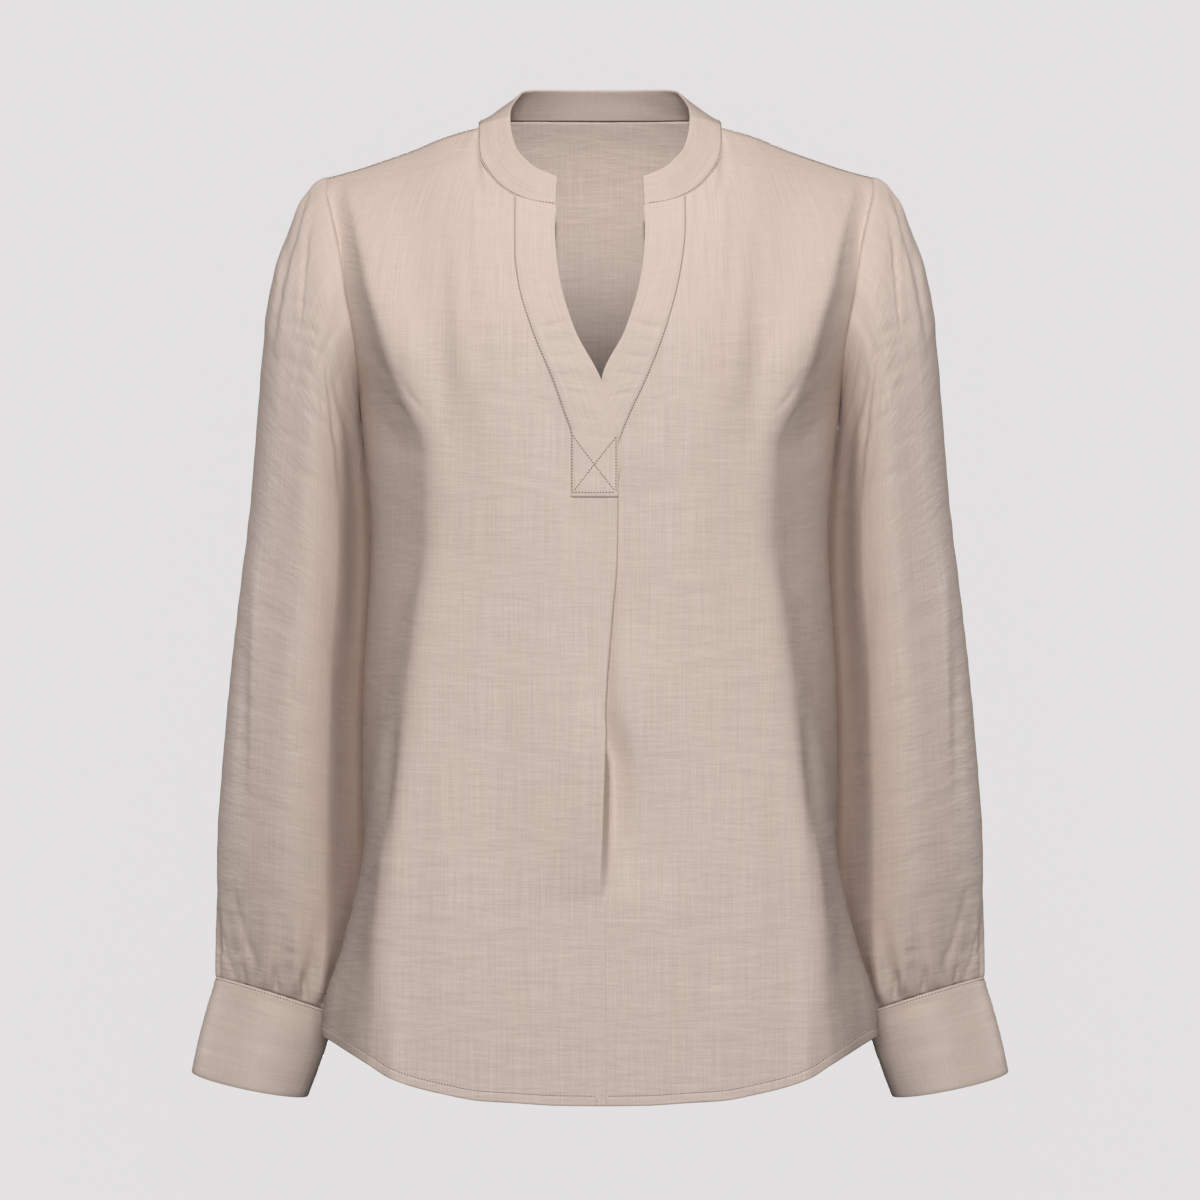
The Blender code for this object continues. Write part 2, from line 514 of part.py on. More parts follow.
def front_sheet():
    """The front's points, faces and grids: two halves, joined below the slit, with the pleat between them."""
    levels = FRONT_LEVELS
    pleats = []
    left_ends, right_ends = [], []
    for z in levels:
        pleat = pleat_row(z) if PLEAT_FOOT < z < PLEAT_TOP else None
        plain_x = slit_x(z) if z > PLEAT_TOP else 0.0
        pleats.append(pleat)
        left_ends.append(pleat[0][0, 0] if pleat else plain_x)
        right_ends.append(pleat[0][-1, 0] if pleat else plain_x)
    left_shifts = [p[1] if p else 0.0 for p in pleats]
    right_shifts = [p[2] if p else 0.0 for p in pleats]
    left = lower_half(front_half, levels, -1, left_ends, left_shifts, front_ripple)
    right = lower_half(front_half, levels, 1, right_ends, right_shifts, front_ripple)
    left_slit = [(-x if i else x, y, z) for i, (x, y, z) in enumerate(SLIT_EDGE)]
    left_seams = [mirrored(seam) for seam in (SHOULDER, FRONT_NECK, FRONT_ARMHOLE)]
    upper_left = upper_half(left[-1], *left_seams, left_slit, FRONT_ROUND)
    upper_right = upper_half(right[-1], SHOULDER, FRONT_NECK, FRONT_ARMHOLE, SLIT_EDGE, FRONT_ROUND)
    left = np.concatenate([left, upper_left[1:]])
    right = np.concatenate([right, upper_right[1:]])
    rows, columns = left.shape[:2]
    last_k = 2 * PLEAT_BEND_STEPS + 1
    points = []

    def keep(p):
        points.append(np.asarray(p, float))
        return len(points) - 1

    left_index = np.zeros((rows, columns), int)
    right_index = np.zeros((rows, columns), int)
    pleat_index = np.full((rows, last_k + 1), -1)
    for r in range(rows):
        for c in range(columns):
            left_index[r, c] = keep(left[r, c])
        joined = r < len(levels)
        for c in range(columns):
            if joined and pleats[r] is None and c == columns - 1:
                right_index[r, c] = left_index[r, c]
            else:
                right_index[r, c] = keep(right[r, c])
        if joined and pleats[r]:
            plan, _, _ = pleats[r]
            first, last = left[r, -1], right[r, -1]
            turned = plan - plan[0]
            lift = (last[1] - first[1]) - turned[-1, 1]
            pleat_index[r, 0] = left_index[r, -1]
            pleat_index[r, last_k] = right_index[r, -1]
            for k in range(1, last_k):
                y = first[1] + turned[k, 1] + lift * k / last_k
                pleat_index[r, k] = keep((first[0] + turned[k, 0], y, first[2]))
        elif joined:
            pleat_index[r, :] = left_index[r, -1]
    faces = grid_faces(left_index) + grid_faces(right_index[:, ::-1]) + grid_faces(pleat_index)
    return np.array(points), faces, left_index, right_index


def back_sheet():
    """The back's points, faces and grid, from the viewer's right side seam to the left one."""
    zero = [0.0] * len(BACK_LEVELS)
    right = lower_half(back_half, BACK_LEVELS, 1, zero, zero, back_ripple)
    left = lower_half(back_half, BACK_LEVELS, -1, zero, zero, back_ripple)
    upper_right = upper_half(right[-1], SHOULDER, BACK_NECK, BACK_ARMHOLE, BACK_MIDDLE, BACK_ROUND)
    left_seams = [mirrored(seam) for seam in (SHOULDER, BACK_NECK, BACK_ARMHOLE)]
    upper_left = upper_half(left[-1], *left_seams, BACK_MIDDLE, BACK_ROUND)
    right = np.concatenate([right, upper_right[1:]])
    left = np.concatenate([left, upper_left[1:]])
    rows, columns = right.shape[:2]
    grid = np.concatenate([right, left[:, -2::-1]], axis=1)
    index = np.arange(rows * (2 * columns - 1)).reshape(rows, 2 * columns - 1)
    return grid.reshape(-1, 3), grid_faces(index), index


def open_seams(front, back):
    """Move the front and the back apart at the side and shoulder seams, and give both one direction there."""
    points, faces, left_index, right_index = front
    back_points, back_faces, back_index = back
    out = directions(points, faces)
    back_out = directions(back_points, back_faces)
    skipped = [FRONT_LEVELS.index(z) for z in BACK_LEVELS]
    upper = list(range(len(FRONT_LEVELS), left_index.shape[0]))
    front_rows = skipped + upper
    shoulder = len(SHOULDER_SHARES)
    pairs = []
    for back_row, front_row in enumerate(front_rows):
        if back_row < len(BACK_LEVELS):
            pairs.append((right_index[front_row, 0], back_index[back_row, 0]))
            pairs.append((left_index[front_row, 0], back_index[back_row, -1]))
    for c in range(shoulder):
        pairs.append((right_index[-1, c], back_index[-1, c]))
        pairs.append((left_index[-1, c], back_index[-1, -1 - c]))
    for f, b in pairs:
        shared = out[f] + back_out[b]
        shared[1] = 0.0
        shared /= np.linalg.norm(shared)
        out[f] = shared
        back_out[b] = shared
    for row in range(len(FRONT_LEVELS)):
        for index in (left_index, right_index):
            v = index[row, 0]
            out[v] = np.array([math.copysign(1.0, points[v][0]), 0.0, 0.0])
            points[v][1] -= GAP / 2
    for row in range(len(BACK_LEVELS)):
        for c in (0, -1):
            v = back_index[row, c]
            back_out[v] = np.array([math.copysign(1.0, back_points[v][0]), 0.0, 0.0])
            back_points[v][1] += GAP / 2
    for c in range(shoulder):
        for index in (left_index, right_index):
            points[index[-1, c]][1] -= GAP / 2
        back_points[back_index[-1, c]][1] += GAP / 2
        back_points[back_index[-1, -1 - c]][1] += GAP / 2
    return out, back_out


def cast_to_front(front_tree, x, z, side, at_edge):
    """The front's outer face at a place, read a little way in from the slit where the band passes its edge."""
    for inward in CAST_INWARD[1:] if at_edge else CAST_INWARD:
        before = Vector((x + side * inward, -1.0, z))
        spot, normal, _, _ = front_tree.ray_cast(before, Vector((0.0, 1.0, 0.0)))
        if spot is not None and spot.y < -0.030 and normal.y < -0.2:
            return spot, normal, side * inward
    raise ValueError(f"the band stands clear of the front at {x:.4f} {z:.4f}")


def band_sheet(front_tree, table, bottom_z, raised):
    """A placket band laid on the front: each point is a point of the front's outer face, moved out."""
    rows = []
    for r in range(BAND_DOWN + 1):
        row = []
        for c in range(BAND_ACROSS + 1):
            share = c / BAND_ACROSS
            top_z = BAND_TOP[0] + (BAND_TOP[1] - BAND_TOP[0]) * share ** 0.7
            z = top_z + (bottom_z - top_z) * r / BAND_DOWN
            outer = read(BAND_COLUMNS, table, "outer_x", z)
            inner = read(BAND_COLUMNS, table, "inner_x", z)
            x = outer + (inner - outer) * share
            cast_z = max(z, TAB_BASE_Z)
            at_edge = share > 0.9 and z > CHEST_Z
            spot, normal, inward = cast_to_front(front_tree, x, cast_z, math.copysign(1.0, outer), at_edge)
            y = spot.y + (normal.x / normal.y) * inward
            if z < TAB_BASE_Z:
                y += read(BODY_COLUMNS, BODY, "front_y", z) - read(BODY_COLUMNS, BODY, "front_y", TAB_BASE_Z)
            lift = GAP + BAND_WALL / 2 + BAND_CLEAR
            if raised:
                lift += ease(-z, -RAISE_FROM, -RAISE_TO) * (WALL + GAP + 0.0001)
                lift += TAB_TIP_LIFT * ease(-z, -TAB_BASE_Z, -LEFT_BAND_FOOT)
            row.append((x + normal.x * lift, y + normal.y * lift, z + normal.z * lift * (cast_z == z)))
        rows.append(row)
    grid = np.array(rows)
    index = np.arange(grid.shape[0] * grid.shape[1]).reshape(grid.shape[:2])
    faces = grid_faces(index)
    points = grid.reshape(-1, 3)
    out = directions(points, faces)
    if out[:, 1].mean() > 0:
        faces = [tuple(reversed(f)) for f in faces]
        out = -out
    return points, faces, out


def collar_sheet():
    """The stand collar's points: a row along the neckline and rows up to its top edge."""
    front_share = np.arange(COLLAR_FRONT_STEPS + 1) / COLLAR_FRONT_STEPS
    back_share = np.arange(1, COLLAR_BACK_STEPS + 1) / COLLAR_BACK_STEPS
    foot = np.concatenate([along_seam(FRONT_NECK, front_share)[::-1], along_seam(BACK_NECK, back_share)])
    top_front = along_seam(COLLAR_TOP_FRONT, front_share)[::-1]
    top = np.concatenate([top_front, along_seam(COLLAR_TOP_BACK, back_share)])
    flip = np.array([-1.0, 1.0, 1.0])
    foot = np.concatenate([foot * flip, foot[-2::-1]])
    top = np.concatenate([top * flip, top[-2::-1]])
    up = top - foot
    up /= np.linalg.norm(up, axis=1)[:, None]
    start = foot + up * (GAP + 0.0009)
    share = (np.arange(COLLAR_ROWS + 1) / COLLAR_ROWS)[:, None, None]
    grid = start[None] * (1 - share) + top[None] * share
    index = np.arange(grid.shape[0] * grid.shape[1]).reshape(grid.shape[:2])
    points = grid.reshape(-1, 3)
    faces = grid_faces(index)
    out = directions(points, faces)
    outward = points * np.array([1.0, 1.0, 0.0])
    if (out * outward).sum() < 0:
        faces = [tuple(reversed(f)) for f in faces]
        out = -out
    return points, faces, out


def ring(row, angles):
    """Points round a ring given by its outer, inner, front and back reach. Angle 0 is the outer side."""
    outer = np.array([row["outer_x"], 0.0, row["outer_z"]])
    inner = np.array([row["inner_x"], 0.0, row["inner_z"]])
    middle = (outer + inner) / 2 + np.array([0.0, (row["front_y"] + row["back_y"]) / 2, 0.0])
    across = (outer - inner) / 2
    forward = np.array([0.0, (row["front_y"] - row["back_y"]) / 2, 0.0])
    return middle + np.cos(angles)[:, None] * across + np.sin(angles)[:, None] * forward


def named_row(columns, row):
    """A row of a table by its column names."""
    return dict(zip(columns, row))


def sleeve_sheet():
    """The viewer's right sleeve, armhole first."""
    angles = np.arange(SLEEVE_POINTS) * 2 * math.pi / SLEEVE_POINTS
    front = along_seam(FRONT_ARMHOLE, 1 - np.arange(TOP_ROWS + 1) / TOP_ROWS)
    back = along_seam(BACK_ARMHOLE, np.arange(1, TOP_ROWS + 1) / TOP_ROWS)
    armhole = np.concatenate([front, back])
    armhole = np.stack([armhole[:-1], (armhole[:-1] + armhole[1:]) / 2], axis=1).reshape(-1, 3)
    under = ease(-np.cos(angles), -0.2, 0.9)
    armhole[:, 0] += GAP + 0.0003 + 0.0009 * under
    first = ring(named_row(SLEEVE_COLUMNS, SLEEVE[0]), angles)
    rows = []
    for values in SLEEVE:
        row = named_row(SLEEVE_COLUMNS, values)
        fade = 1 - ease(row["ring"], 0, ARMHOLE_BLEND)
        points = ring(row, angles) + (armhole - first) * fade
        points[:, 0] -= row["tuck"] * np.maximum(np.cos(angles - math.radians(TUCK_AT)), 0.0) ** 2
        points[:, 2] += CUFF_TILT * ease(row["ring"], FINE_BELOW, len(SLEEVE) - 1) * np.sin(angles)
        centre = points.mean(axis=0)
        spokes = points - centre
        spokes /= np.linalg.norm(spokes, axis=1)[:, None]
        wave = np.cos(GATHERS * angles) * (0.75 + 0.25 * np.cos(3 * angles + 0.7))
        if row["ring"] <= FINE_ABOVE:
            wave = wave * (np.cos(angles) > math.cos(math.radians(CAP_REACH)))
        rows.append(points + spokes * (wave * row["gather"])[:, None])
    grid = np.array(rows)
    index = np.arange(grid.shape[0] * SLEEVE_POINTS).reshape(grid.shape[:2])
    for r in range(FINE_ABOVE + 1, FINE_BELOW):
        index[r, 1::2] = index[r, 0::2]
    faces = grid_faces(index, closed=True)
    points = grid.reshape(-1, 3)
    return tube_directions(points, faces)


def cuff_sheet():
    """The viewer's right cuff, seam first."""
    angles = np.arange(CUFF_POINTS) * 2 * math.pi / CUFF_POINTS
    rows = []
    for values in CUFF:
        row = named_row(CUFF_COLUMNS, values)
        points = ring(row, angles)
        points[:, 2] += row["tilt"] * np.sin(angles)
        rows.append(points)
    grid = np.array(rows)
    down = grid[1] - grid[0]
    grid[0] += down / np.linalg.norm(down, axis=1)[:, None] * (GAP + 0.0002)
    index = np.arange(grid.shape[0] * CUFF_POINTS).reshape(grid.shape[:2])
    return tube_directions(grid.reshape(-1, 3), grid_faces(index, closed=True))


def tube_directions(points, faces):
    """Turns a tube's faces outward and gives each point its direction."""
    used = sorted({v for face in faces for v in face})
    out = directions(points, faces)
    centre = points[used].mean(axis=0)
    spokes = (points - centre) * np.array([1.0, 1.0, 0.0])
    if (out * spokes).sum() < 0:
        faces = [tuple(reversed(f)) for f in faces]
        out = -out
    return points, faces, out


def flipped(sheet):
    """The same sheet on the viewer's left."""
    points, faces, out = sheet
    flip = np.array([-1.0, 1.0, 1.0])
    return points * flip, [tuple(reversed(f)) for f in faces], out * flip


def main():
    """Builds every piece."""
    for obj in list(bpy.data.objects):
        bpy.data.objects.remove(obj, do_unlink=True)
    collection = bpy.data.collections.new("blouse")
    bpy.context.scene.collection.children.link(collection)

    front = front_sheet()
    back = back_sheet()
    front_out, back_out = open_seams(front, back)

    front_points, front_faces = wall(front[0], front[1], front_out, WALL)
    back_points, back_faces = wall(back[0], back[1], back_out, WALL)
    tree = BVHTree.FromPolygons([Vector(p) for p in front_points], front_faces)
    left_band = band_sheet(tree, LEFT_BAND, LEFT_BAND_FOOT, raised=True)
    right_band = band_sheet(tree, RIGHT_BAND, RIGHT_BAND_FOOT, raised=False)
    sleeve = sleeve_sheet()
    cuff = cuff_sheet()

    cloth = cloth_material("blouse_cloth", CLOTH_COLOUR)
    add_object("front", front_points, front_faces, cloth, collection)
    add_object("back", back_points, back_faces, cloth, collection)
    pieces = (
        ("placket_left", left_band, BAND_WALL),
        ("placket_right", right_band, BAND_WALL),
        ("collar", collar_sheet(), STIFF_WALL),
        ("sleeve_right", sleeve, WALL),
        ("sleeve_left", flipped(sleeve), WALL),
        ("cuff_right", cuff, STIFF_WALL),
        ("cuff_left", flipped(cuff), STIFF_WALL),
    )
    for name, (points, faces, out), thickness in pieces:
        solid_points, solid_faces = wall(points, faces, out, thickness)
        add_object(name, solid_points, solid_faces, cloth, collection)


main()
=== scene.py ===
"""Looks for a long-sleeved blouse: its cloth, folds, seams and stitching, with a plain studio round it.

Metres, +Z up, the front faces -Y, and left and right are the viewer's. Each cloth piece is a thin shell on
the form of its solid. A place in the photograph is written as a real size, at 0.7 mm for each of its 1200
pixels, from the middle of the garment and from the neck points of its shoulder seams.
"""
from __future__ import annotations

import json
import logging
import math
from dataclasses import dataclass, field
from enum import Enum

import bpy
import numpy as np
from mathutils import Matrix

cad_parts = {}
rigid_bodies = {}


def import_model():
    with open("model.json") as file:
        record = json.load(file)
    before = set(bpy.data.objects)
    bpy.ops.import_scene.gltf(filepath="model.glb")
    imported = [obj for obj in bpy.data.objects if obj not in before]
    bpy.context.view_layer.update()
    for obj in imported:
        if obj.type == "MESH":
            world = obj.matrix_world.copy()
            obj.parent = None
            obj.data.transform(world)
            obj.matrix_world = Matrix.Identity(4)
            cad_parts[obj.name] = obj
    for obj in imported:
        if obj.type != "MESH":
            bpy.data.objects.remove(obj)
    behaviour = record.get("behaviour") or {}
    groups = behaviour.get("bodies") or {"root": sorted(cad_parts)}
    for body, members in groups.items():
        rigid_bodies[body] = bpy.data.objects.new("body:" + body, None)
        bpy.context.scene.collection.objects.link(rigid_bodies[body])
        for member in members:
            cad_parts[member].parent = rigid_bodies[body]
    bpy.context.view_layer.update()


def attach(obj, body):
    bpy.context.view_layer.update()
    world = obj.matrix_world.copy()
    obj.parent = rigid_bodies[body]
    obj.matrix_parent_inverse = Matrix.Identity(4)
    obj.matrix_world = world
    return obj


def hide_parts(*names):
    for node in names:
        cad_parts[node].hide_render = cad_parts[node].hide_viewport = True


Array = np.ndarray
Seam = tuple[tuple[float, float, float], ...]
LOG = logging.getLogger("blouse")
BODY_NAME = "root"
MM_IN_METRE = 1000
BAND_WIDTH = 0.030  # of each placket band
FIRM_PITCH = 0.0023  # from stitch to stitch on the collar and cuffs
SEAM_SHADE_PITCH = 0.0012  # from bead to bead of the painted shade line at the collar's inner seam
BAND_ROUNDING = 0.0002  # of the placket bands' edges
FIRM_ROUNDING = 0.0005  # of the collar's and cuffs' edges
FINE_CRUMPLE = 0.00012  # height of the crumples on the smaller pieces
MIRROR = np.array([-1.0, 1.0, 1.0])  # from one side of the garment to the other
MIDDLE = (0.0, 0.0, -0.35)  # the garment's middle, at which the lamps aim
UV_NAME = "threads"


class Side(Enum):
    """The side of the garment, as the viewer sees it."""

    LEFT = -1
    RIGHT = 1


class Held(Enum):
    """How the cloth of a piece is held."""

    HUNG = "hung"
    GATHERED = "gathered"


# Curves and tables

def smooth_at(keys: Array, values: Array, where: Array) -> Array:
    """Reads a smooth line through rows that never overshoots them.

    A row's slope is the weighted harmonic mean of those beside it, or zero at a turn. A cubic joins them.

    Args:
        keys: places of the rows, going up.
        values: the rows' values.
        where: places to read.

    Returns:
        The values there, in the shape of where.
    """
    keys = np.asarray(keys, float)
    values = np.asarray(values, float)
    step = np.diff(keys)
    slope = np.diff(values) / step
    before = 2 * step[1:] + step[:-1]
    after = step[1:] + 2 * step[:-1]
    same_way = slope[:-1] * slope[1:] > 0
    low = np.where(same_way, slope[:-1], 1.0)
    high = np.where(same_way, slope[1:], 1.0)
    inner = np.where(same_way, (before + after) / (before / low + after / high), 0.0)
    tangent = np.concatenate([slope[:1], inner, slope[-1:]])
    where = np.clip(where, keys[0], keys[-1])
    i = np.clip(np.searchsorted(keys, where) - 1, 0, len(step) - 1)
    t = (where - keys[i]) / step[i]
    start = (1 + 2 * t) * (1 - t) ** 2 * values[i] + t * (1 - t) ** 2 * step[i] * tangent[i]
    end = t * t * (3 - 2 * t) * values[i + 1] - t * t * (1 - t) * step[i] * tangent[i + 1]
    return start + end


def through_rows(keys: Array, values: Array, where: Array) -> Array:
    """Carries whole rows of points smoothly from one to the next.

    Each row's slope is that of the parabola through it and its neighbours, and a cubic joins the rows.

    Args:
        keys: places of the rows, going up.
        values: one row of points for each key.
        where: places to read.

    Returns:
        One row of points for each place.
    """
    tangent = np.gradient(values, keys, axis=0)
    i = np.clip(np.searchsorted(keys, where, side="right") - 1, 0, len(keys) - 2)
    shape = (-1,) + (1,) * (values.ndim - 1)
    step = (keys[i + 1] - keys[i]).reshape(shape)
    t = ((where - keys[i]) / (keys[i + 1] - keys[i])).reshape(shape)
    start = (1 + 2 * t) * (1 - t) ** 2 * values[i] + t * (1 - t) ** 2 * step * tangent[i]
    end = t * t * (3 - 2 * t) * values[i + 1] - t * t * (1 - t) * step * tangent[i + 1]
    return start + end


def ease(value: Array | float, start: float, end: float) -> Array:
    """A share that is 0 at start and 1 at end, with no corner at either: 3t squared less 2t cubed.

    Args:
        value: places to read.
        start: where the share is 0.
        end: where the share is 1.

    Returns:
        The share at each place.
    """
    t = np.clip((value - start) / (end - start), 0.0, 1.0)
    return t * t * (3 - 2 * t)


def running(points: Array, axis: int = 0) -> Array:
    """The length run along a line of points up to each of them.

    Args:
        points: points, with x, y and z last.
        axis: the axis that the line follows.

    Returns:
        The running length, 0 at the first point.
    """
    steps = np.linalg.norm(np.diff(points, axis=axis), axis=-1)
    total = np.cumsum(steps, axis=axis)
    zero = np.zeros_like(np.take(total, [0], axis=axis))
    return np.concatenate([zero, total], axis=axis)


def along_seam(seam: Seam, shares: Array) -> Array:
    """Points of a seam at shares of its length, on a smooth line through its rows.

    Args:
        seam: the seam's rows of x, y and z, from one end to the other.
        shares: shares of its length from 0 to 1.

    Returns:
        A point for each share.
    """
    rows = np.asarray(seam, float)
    keys = running(rows) / running(rows)[-1]
    fine = np.linspace(0, 1, 241)
    line = np.stack([smooth_at(keys, rows[:, i], fine) for i in range(3)], axis=1)
    fine_keys = running(line) / running(line)[-1]
    return np.stack([np.interp(shares, fine_keys, line[:, i]) for i in range(3)], axis=-1)


def soft_line(points: list[Array], steps: int = 9) -> Array:
    """A line through the middles of a polygon's sides, rounded at each corner by a parabola.

    Args:
        points: the polygon's corners.
        steps: points on each rounding.

    Returns:
        The line from the first corner to the last.
    """
    line = [np.asarray(points[0], float)[None]]
    start = line[0][0]
    t = (np.arange(1, steps + 1) / steps)[:, None]
    for i in range(1, len(points) - 1):
        corner = np.asarray(points[i], float)
        end = np.asarray(points[i + 1], float)
        if i < len(points) - 2:
            end = (corner + end) / 2
        line.append((1 - t) ** 2 * start + 2 * t * (1 - t) * corner + t * t * end)
        start = end
    return np.concatenate(line)


def towards(start: Array, end: Array, distance: float) -> Array:
    """The point at a distance from start on the way to end."""
    start, end = np.asarray(start, float), np.asarray(end, float)
    return start + (end - start) * distance / np.linalg.norm(end - start)


@dataclass(frozen=True)
class Table:
    """Rows of sizes under named columns, read smoothly between the rows by the first column."""

    columns: tuple[str, ...]
    rows: tuple[tuple[float, ...], ...]

    def column(self, name: str) -> Array:
        """The values of a column in the rows' order."""
        return np.array([row[self.columns.index(name)] for row in self.rows], float)

    def read(self, name: str, key: Array | float) -> Array:
        """Reads a column.

        Args:
            name: the column.
            key: places in the first column.

        Returns:
            The column's value at each place.
        """
        keys = self.column(self.columns[0])
        order = np.argsort(keys)
        return smooth_at(keys[order], self.column(name)[order], np.asarray(key, float))


# Sizes that several pieces share

TRUNK = Table(
    ("z", "side_x", "dip_x", "dip_y", "wide_x", "wide_y",
     "turn_x", "turn_y", "front_y", "back_x", "back_y", "back_c"),
    (
        (-0.165, 0.1700, 0.1698, -0.012, 0.1665, -0.036, 0.1480, -0.086, -0.1055, 0.122, 0.094, 0.104),
        (-0.190, 0.1687, 0.1688, -0.014, 0.1655, -0.040, 0.1370, -0.093, -0.1080, 0.120, 0.095, 0.106),
        (-0.225, 0.1640, 0.1662, -0.018, 0.1600, -0.046, 0.1180, -0.099, -0.1105, 0.116, 0.094, 0.106),
        (-0.288, 0.1590, 0.1622, -0.020, 0.1550, -0.050, 0.1180, -0.101, -0.1130, 0.112, 0.092, 0.103),
        (-0.333, 0.1610, 0.1645, -0.020, 0.1560, -0.052, 0.1250, -0.103, -0.1140, 0.114, 0.093, 0.104),
        (-0.400, 0.1645, 0.1685, -0.020, 0.1580, -0.058, 0.1335, -0.106, -0.1160, 0.120, 0.096, 0.106),
        (-0.470, 0.1650, 0.1680, -0.022, 0.1620, -0.062, 0.1435, -0.109, -0.1180, 0.126, 0.100, 0.110),
        (-0.520, 0.1620, 0.1620, -0.022, 0.1700, -0.060, 0.1525, -0.111, -0.1190, 0.130, 0.102, 0.112),
        (-0.570, 0.1640, 0.1640, -0.022, 0.1850, -0.056, 0.1550, -0.112, -0.1200, 0.134, 0.104, 0.114),
        (-0.623, 0.1710, 0.1730, -0.020, 0.2030, -0.050, 0.1565, -0.113, -0.1210, 0.138, 0.108, 0.118),
        (-0.700, 0.1740, 0.1760, -0.020, 0.2050, -0.050, 0.1600, -0.113, -0.1210, 0.140, 0.110, 0.120),
    ),
)
FRONT_HEM = Table(
    ("x", "z"),
    ((0.0, -0.6835), (0.028, -0.6832), (0.056, -0.6815), (0.084, -0.6797), (0.1065, -0.6755),
     (0.133, -0.6690), (0.147, -0.6636), (0.160, -0.6556), (0.1736, -0.6475), (0.191, -0.6375),
     (0.21, -0.630)),
)
PLEAT = Table(
    ("z", "edge_x", "turn", "bend", "depth", "rise"),
    (
        (-0.2400, 0.0126, 0.0, 0.0008, 0.0004, 0.3), (-0.2440, 0.0126, 60.0, 0.0008, 0.0004, 0.3),
        (-0.2475, 0.0126, 125.0, 0.0008, 0.0008, 0.3), (-0.2505, 0.0126, 170.0, 0.0008, 0.0014, 0.3),
        (-0.2545, 0.0126, 180.0, 0.0008, 0.0030, 0.3), (-0.2583, 0.0126, 180.0, 0.0008, 0.0048, 0.3),
        (-0.2750, 0.0124, 180.0, 0.0008, 0.0100, 0.3), (-0.3020, 0.0119, 177.0, 0.0009, 0.0130, 0.4),
        (-0.3440, 0.0084, 172.0, 0.0011, 0.0120, 0.4), (-0.4000, 0.0042, 150.0, 0.0014, 0.0085, 0.5),
        (-0.4250, 0.0033, 110.0, 0.0018, 0.0090, 0.5), (-0.4450, 0.0026, 78.0, 0.0024, 0.0100, 0.5),
        (-0.4750, 0.0016, 70.0, 0.0026, 0.0090, 0.5), (-0.5050, 0.0006, 60.0, 0.0030, 0.0060, 0.5),
        (-0.5270, 0.0000, 38.0, 0.0040, 0.0035, 0.5),
        (-0.5450, 0.0000, 0.0, 0.0060, 0.0020, 0.5), (-0.7000, 0.0000, 0.0, 0.0060, 0.0020, 0.5),
    ),
)
HEM_Z, SIDE_HEM_Z, BACK_HEM_Z = -0.6835, -0.628, -0.680
CHEST_Z, UNDERARM_Z, HEM_RISE_STARTS = -0.1780, -0.1900, -0.530
HEM_WIDTH = 0.0070            # from the hem's edge up to its stitching
SHOULDER: Seam = ((0.1920, 0.002, -0.0340), (0.1757, 0.002, -0.0296), (0.1463, 0.002, -0.0200),
                  (0.1330, 0.001, -0.0152), (0.1050, 0.0, -0.0040), (0.0840, 0.0, 0.0020))
FRONT_NECK: Seam = ((0.0840, 0.0, 0.0020), (0.0845, -0.0115, -0.0084), (0.0835, -0.0215, -0.0189),
                    (0.0786, -0.0305, -0.0287), (0.0714, -0.0390, -0.0378), (0.0609, -0.0455, -0.0455),
                    (0.0476, -0.0505, -0.0508), (0.0308, -0.0530, -0.0532))
BACK_NECK: Seam = ((0.0840, 0.0, 0.0020), (0.0838, 0.010, 0.0042), (0.0815, 0.024, 0.0058),
                   (0.0735, 0.039, 0.0068), (0.0560, 0.051, 0.0070), (0.0300, 0.058, 0.0070),
                   (0.0, 0.060, 0.0070))
FRONT_ARMHOLE: Seam = ((0.1687, 0.004, -0.1900), (0.1692, -0.018, -0.1800), (0.1705, -0.036, -0.1650),
                       (0.1729, -0.049, -0.1477), (0.1757, -0.0545, -0.1330), (0.1792, -0.0545, -0.1162),
                       (0.1813, -0.051, -0.0987), (0.1848, -0.043, -0.0784), (0.1890, -0.030, -0.0595),
                       (0.1925, -0.012, -0.0425), (0.1920, 0.002, -0.0340))
BACK_ARMHOLE: Seam = ((0.1687, 0.004, -0.1900), (0.1705, 0.028, -0.1740), (0.1735, 0.047, -0.1480),
                      (0.1770, 0.056, -0.1200), (0.1815, 0.053, -0.0900), (0.1868, 0.040, -0.0640),
                      (0.1915, 0.020, -0.0430), (0.1920, 0.002, -0.0340))
SLIT_EDGE: Seam = ((0.0014, -0.1075, -0.1780), (0.0190, -0.1025, -0.1414), (0.0292, -0.0900, -0.1064),
                   (0.0325, -0.0690, -0.0714), (0.0308, -0.0530, -0.0532))
BACK_MIDDLE: Seam = ((0.0, 0.1055, -0.1780), (0.0, 0.1070, -0.1400), (0.0, 0.1030, -0.0950),
                     (0.0, 0.0920, -0.0500), (0.0, 0.0760, -0.0150), (0.0, 0.0600, 0.0070))


# Grids, normals and meshes

def numbered(rows: int, columns: int, first: int = 0) -> Array:
    """Point numbers of a grid, row by row, from a first number on."""
    return first + np.arange(rows * columns).reshape(rows, columns)


def quads_of(index: Array, closed: bool = False, turned: bool = False) -> Array:
    """Faces between the rows and columns of a grid of point numbers.

    Args:
        index: the grid of point numbers.
        closed: whether the last column meets the first.
        turned: whether the faces look the other way.

    Returns:
        Four point numbers for each face.
    """
    wrapped = np.concatenate([index, index[:, :1]], axis=1) if closed else index
    corners = [wrapped[:-1, :-1], wrapped[:-1, 1:], wrapped[1:, 1:], wrapped[1:, :-1]]
    quads = np.stack(corners, axis=-1).reshape(-1, 4)
    return quads[:, ::-1] if turned else quads


